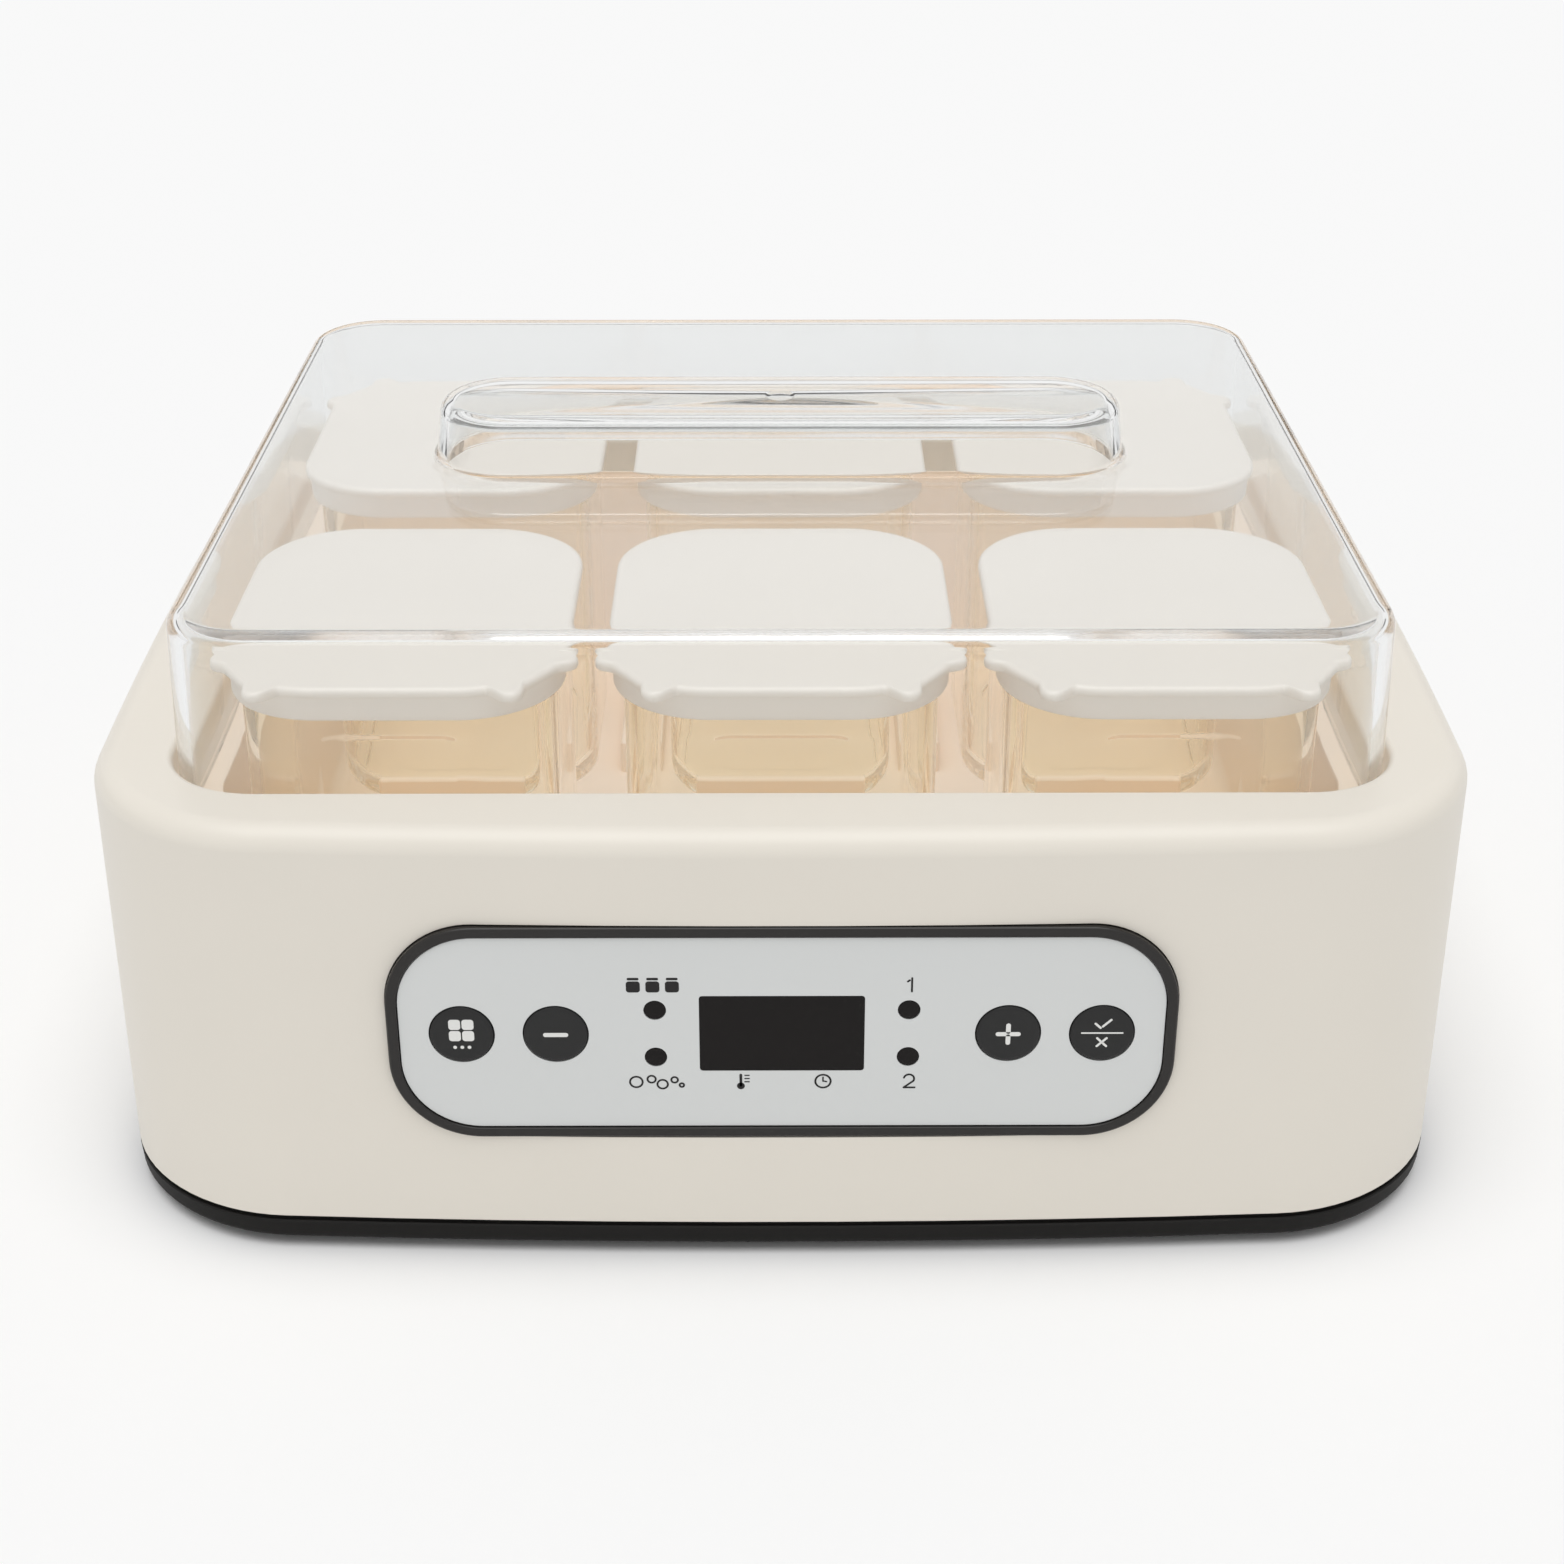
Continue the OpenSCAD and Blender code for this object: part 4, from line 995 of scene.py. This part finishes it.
def makeBezel():
    w, h = bezelHigh[0] - bezelLow[0], bezelHigh[2] - bezelLow[2]
    r, f, deep = panelParts["cornerR"], panelParts["frame"], panelParts["depth"]
    trayTop = -(panelParts["labelIn"] + panelParts["labelThick"])
    trayBack = trayTop - panelParts["tray"]
    steps = {"arc": 24, "side": 8}

    def frameRing(inset, z):
        return ring(w - 2 * inset, h - 2 * inset, r - inset, z, **steps)
    rings = [frameRing(2, trayBack), frameRing(2, -deep), frameRing(0, -deep), frameRing(0, -0.6)]
    rings += [frameRing(i, -0.6 + rise) for i, rise in quarter(0.6, 6)]
    rings += [frameRing(f - 0.3 + i, -0.3 + rise) for i, rise in
              [(0.3 * math.sin(a), 0.3 * math.cos(a)) for a in np.linspace(0, math.pi / 2, 5)]]
    rings += [frameRing(f, trayTop)]
    obj = objectFrom("panelFrame", panelShell(skinOver(rings)))
    screwLow, screwHigh = boxOf("panel_screws")
    headR, _, shankR = screws["panel"]
    boardZ = panel["y"] - boxOf("control_board")[0][1]
    post = [(2.5, trayBack + 0.4), (2.5, boardZ + 0.3), (2.2, boardZ), (shankR, boardZ),
            (shankR, boardZ + 5.1)]
    places = fourCorners(screwHigh[0] - headR, (screwHigh[2] - screwLow[2]) / 2 - headR)
    carve(obj, panelShell(*[turned(post, 32, at) for at in places]), "UNION")
    carve(obj, panelCuts(trayBack - 1, trayTop + 1))
    return dress(obj, "blackFrameMoulded", "housing", ["panel_bezel"])


def makeLabel():
    low, high = boxOf("panel_label")
    w, h = high[0] - low[0], high[2] - low[2]
    r = panelParts["cornerR"] - panelParts["frame"] - panelParts["labelGap"]
    top = -panelParts["labelIn"]
    rings = [ring(w - 2 * i, h - 2 * i, r - i, z, arc=24) for i, z in
             ((0, top - panelParts["labelThick"]), (0, top - 0.12), (0.04, top - 0.03), (0.12, top))]
    obj = objectFrom("panelLabel", panelShell(skinOver(rings)))
    carve(obj, panelCuts(top - 2, top + 1))
    return dress(obj, "greyLabelPrinted", "housing", ["panel_label"])


# Marks are thin layers of ink, drawn from discs, hoops and round-ended strokes

def disc(x, y, r, base, thick):
    return skinOver([circle(r, base, 32, (x, y)), circle(r, base + thick, 32, (x, y))])


def hoop(x, y, r, stroke, base, thick):
    outer, inner, top = r + stroke / 2, r - stroke / 2, base + thick
    return skinOver([circle(ringR, z, 40, (x, y)) for ringR, z in
                     ((outer, base), (outer, top), (inner, top), (inner, base))], closed=True)


def stroke(a, b, wide, base, thick):
    a, b = np.array(a, float), np.array(b, float)
    long = np.linalg.norm(b - a)
    u = (b - a) / long
    flat = outline(long + wide, wide, wide / 2 - 0.001, 6, 0)
    flat = (a + b) / 2 + flat[:, :1] * u + flat[:, 1:] * np.array([-u[1], u[0]])
    return skinOver([level(flat, base), level(flat, base + thick)])


def tile(x, y, w, h, r, base, thick):
    return moved(skinOver([ring(w, h, r, z, arc=6, side=0) for z in (base, base + thick)]), x, y)


marks = {
    "thick": 0.05,
    "line": 0.36,
    "side": 23.2,          # beside the lamps
    "rise": 10.3,          # above and below the lamps
    "under": 7.5,          # under the window
}


def makeLabelMarks():
    z = -panelParts["labelIn"] - 0.02
    t, line = marks["thick"], marks["line"]
    shells = []
    for i in (-1, 0, 1):  # three little jars
        x, y = -marks["side"] + i * 3.5, marks["rise"]
        shells += [tile(x, y - 0.35, 2.5, 2.3, 0.55, z, t), tile(x, y + 1.3, 2.1, 0.5, 0.2, z, t)]
    for x, y, r in ((-3.4, -0.1, 1.15), (-0.6, 0.5, 0.75), (1.4, -0.6, 0.95), (3.6, 0.35, 0.6),
                    (4.9, -0.8, 0.4)):
        shells.append(hoop(-marks["side"] + x, -marks["rise"] + y, r, line, z, t))  # rising bubbles
    x, y = -marks["under"], -marks["rise"]  # thermometer with its steps
    shells += [disc(x, y - 1.0, 0.72, z, t), stroke((x, y - 0.9), (x, y + 1.4), 0.5, z, t)]
    shells += [stroke((x + 0.75, y + k), (x + 1.5, y + k), 0.24, z, t) for k in (-0.1, 0.6, 1.3)]
    x = marks["under"]  # clock
    shells += [hoop(x, y, 1.4, line, z, t), stroke((x, y), (x, y + 0.85), 0.28, z, t),
               stroke((x + 0.2, y), (x + 0.65, y - 0.1), 0.28, z, t)]
    x, y = marks["side"], marks["rise"]  # plain figures 1 and 2
    shells += [stroke((x + 0.1, y - 1.4), (x + 0.1, y + 1.4), line, z, t),
               stroke((x + 0.1 - 0.42, y + 0.95), (x + 0.1 - 0.75, y + 0.7), line, z, t)]
    turn = [(x + 0.95 * math.cos(a), -y + 0.5 + 0.95 * math.sin(a)) for a in np.linspace(2.9, -0.5, 9)]
    two = turn + [(x - 0.95, -y - 1.4), (x + 1.05, -y - 1.4)]
    shells += [stroke(a, b, line, z + 0.0005 * k, t) for k, (a, b) in enumerate(zip(two, two[1:]))]
    obj = objectFrom("labelMarks", panelShell(*shells))
    dress(obj, "blackInkPrinted", "housing")


def makeKeys():
    top = -panelParts["labelIn"] + panelParts["keyOut"]
    z, t = top - 0.01, marks["thick"]
    glyphs = {
        "mode": [tile(*at, 2.15, 2.15, 0.55, z, t) for at in fourCorners(1.2, 1.2, (0, 1))]
        + [disc(k * 1.3, -2.6, 0.34, z, t) for k in (-1, 0, 1)],
        "minus": [stroke((-1.85, 0), (1.85, 0), 0.85, z, t)],
        "plus": [stroke((-1.85, 0), (1.85, 0), 0.85, z, t), stroke((0, 0.5), (0, 1.85), 0.85, z, t),
                 stroke((0, -0.5), (0, -1.85), 0.85, z, t)],
        "confirm": [stroke((-3.7, 0.2), (3.7, 0.2), 0.3, z, t),
                    stroke((-1.3, 2.2), (-0.35, 1.3), 0.42, z, t),
                    stroke((0.05, 1.6), (1.5, 3.0), 0.42, z, t),
                    stroke((-0.85, -2.6), (0.85, -0.9), 0.42, z, t),
                    stroke((-0.85, -0.9), (-0.25, -1.5), 0.42, z, t),
                    stroke((0.25, -2.0), (0.85, -2.6), 0.42, z, t)],
    }
    r = panelParts["keyR"]
    for key, node in keys.items():
        x, y = centreOnPanel(node)
        back = panel["y"] - boxOf(node)[1][1]
        flange = back + 3
        profile = [(0, top), (r - 0.9, top), (r - 0.5, top - 0.03), (r - 0.15, top - 0.15),
                   (r, top - 0.45), (r, flange + 1), (r + 1, flange + 1), (r + 1, flange), (2.2, flange),
                   (2, flange - 0.2), (2, back + 0.3), (1.7, back), (0, back)]
        obj = objectFrom(key + "Key", panelShell(turned(profile[::-1], 72, (x, y))))
        dress(obj, "blackKeyMoulded", "key_" + key, [node])
        ink = objectFrom(key + "KeyMark", panelShell(*[moved(s, x, y) for s in glyphs[key]]))
        dress(ink, "whiteInkPrinted", "key_" + key)


def makeWindow():
    low, high = boxOf("display_window")
    w, h = high[0] - low[0], high[2] - low[2]
    front, back = panel["y"] - low[1], panel["y"] - high[1]
    rings = [ring(w - 2 * i, h - 2 * i, 0.6 - i, z, arc=5) for i, z in
             ((0, back), (0, front - 0.15), (0.05, front - 0.04), (0.15, front))]
    obj = objectFrom("displayWindow", panelShell(skinOver(rings)))
    dress(obj, "smokedAcrylicPolished", "housing", ["display_window"])


def makeLenses():
    low, high = boxOf("indicator_lenses")
    front, back, r = panel["y"] - low[1], panel["y"] - high[1], panelParts["lensR"]
    profile = [(0, back), (r, back), (r, front - 0.25), (r - 0.12, front - 0.08), (r - 0.5, front - 0.02),
               (0, front)]
    obj = objectFrom("indicatorLenses", panelShell(*[turned(profile, 40, at) for at in lensPlaces()]))
    dress(obj, "smokedAcrylicPolished", "housing", ["indicator_lenses"])


makeBezel()
makeLabel()
makeLabelMarks()
makeKeys()
makeWindow()
makeLenses()
print("panel made")


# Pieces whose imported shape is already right: finish and softened edges

carried = {
    # node: finish, edge radius in millimetres
    "display_module": ("displayGlassFramed", 0.3),
    "indicator_leds": ("milkyEpoxyCast", 0.25),
    "control_board": ("greenBoardEtched", 0.08),
    "tact_switches": ("blackSwitchMoulded", 0.15),
    "ribbon_cable": ("greyPvcRibbed", 0),
    "heat_plate": ("aluminiumRolled", 0.15),
    "heating_cord": ("siliconeExtruded", 0),
    "cord_clips": ("aluminiumRolled", 0.1),
    "temperature_sensor": ("brassTurned", 0.2),
    "thermal_fuse": ("ceramicGlazed", 0.25),
    "power_board": ("greenBoardEtched", 0.08),
    "power_transformer": ("yellowTapeWound", 0.25),
    "filter_capacitor": ("blueSleeveShrunk", 0.5),
    "heater_relay": ("blueRelayMoulded", 0.35),
    "wire_terminals": ("nylonMoulded", 0.3),
    "board_headers": ("nylonMoulded", 0.2),
    "power_inlet": ("blackFrameMoulded", 0.3),
    "inlet_pins": ("brassNickelPlated", 0.4),
    "mains_wires": ("brownPvcExtruded", 0),
    "heater_wires": ("redSleeveBraided", 0),
    "sensor_wires": ("blackPvcExtruded", 0),
}
for node, (finish, radius) in carried.items():
    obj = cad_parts[node]
    obj.data.materials.clear()
    obj.data.materials.append(finishes[finish])
    if radius:
        soften = obj.modifiers.new("softEdges", "BEVEL")
        soften.width = radius * mm
        soften.segments = 2
        soften.limit_method = "ANGLE"
        soften.angle_limit = math.radians(40)
        soften.use_clamp_overlap = True
print("carried pieces finished:", len(carried))
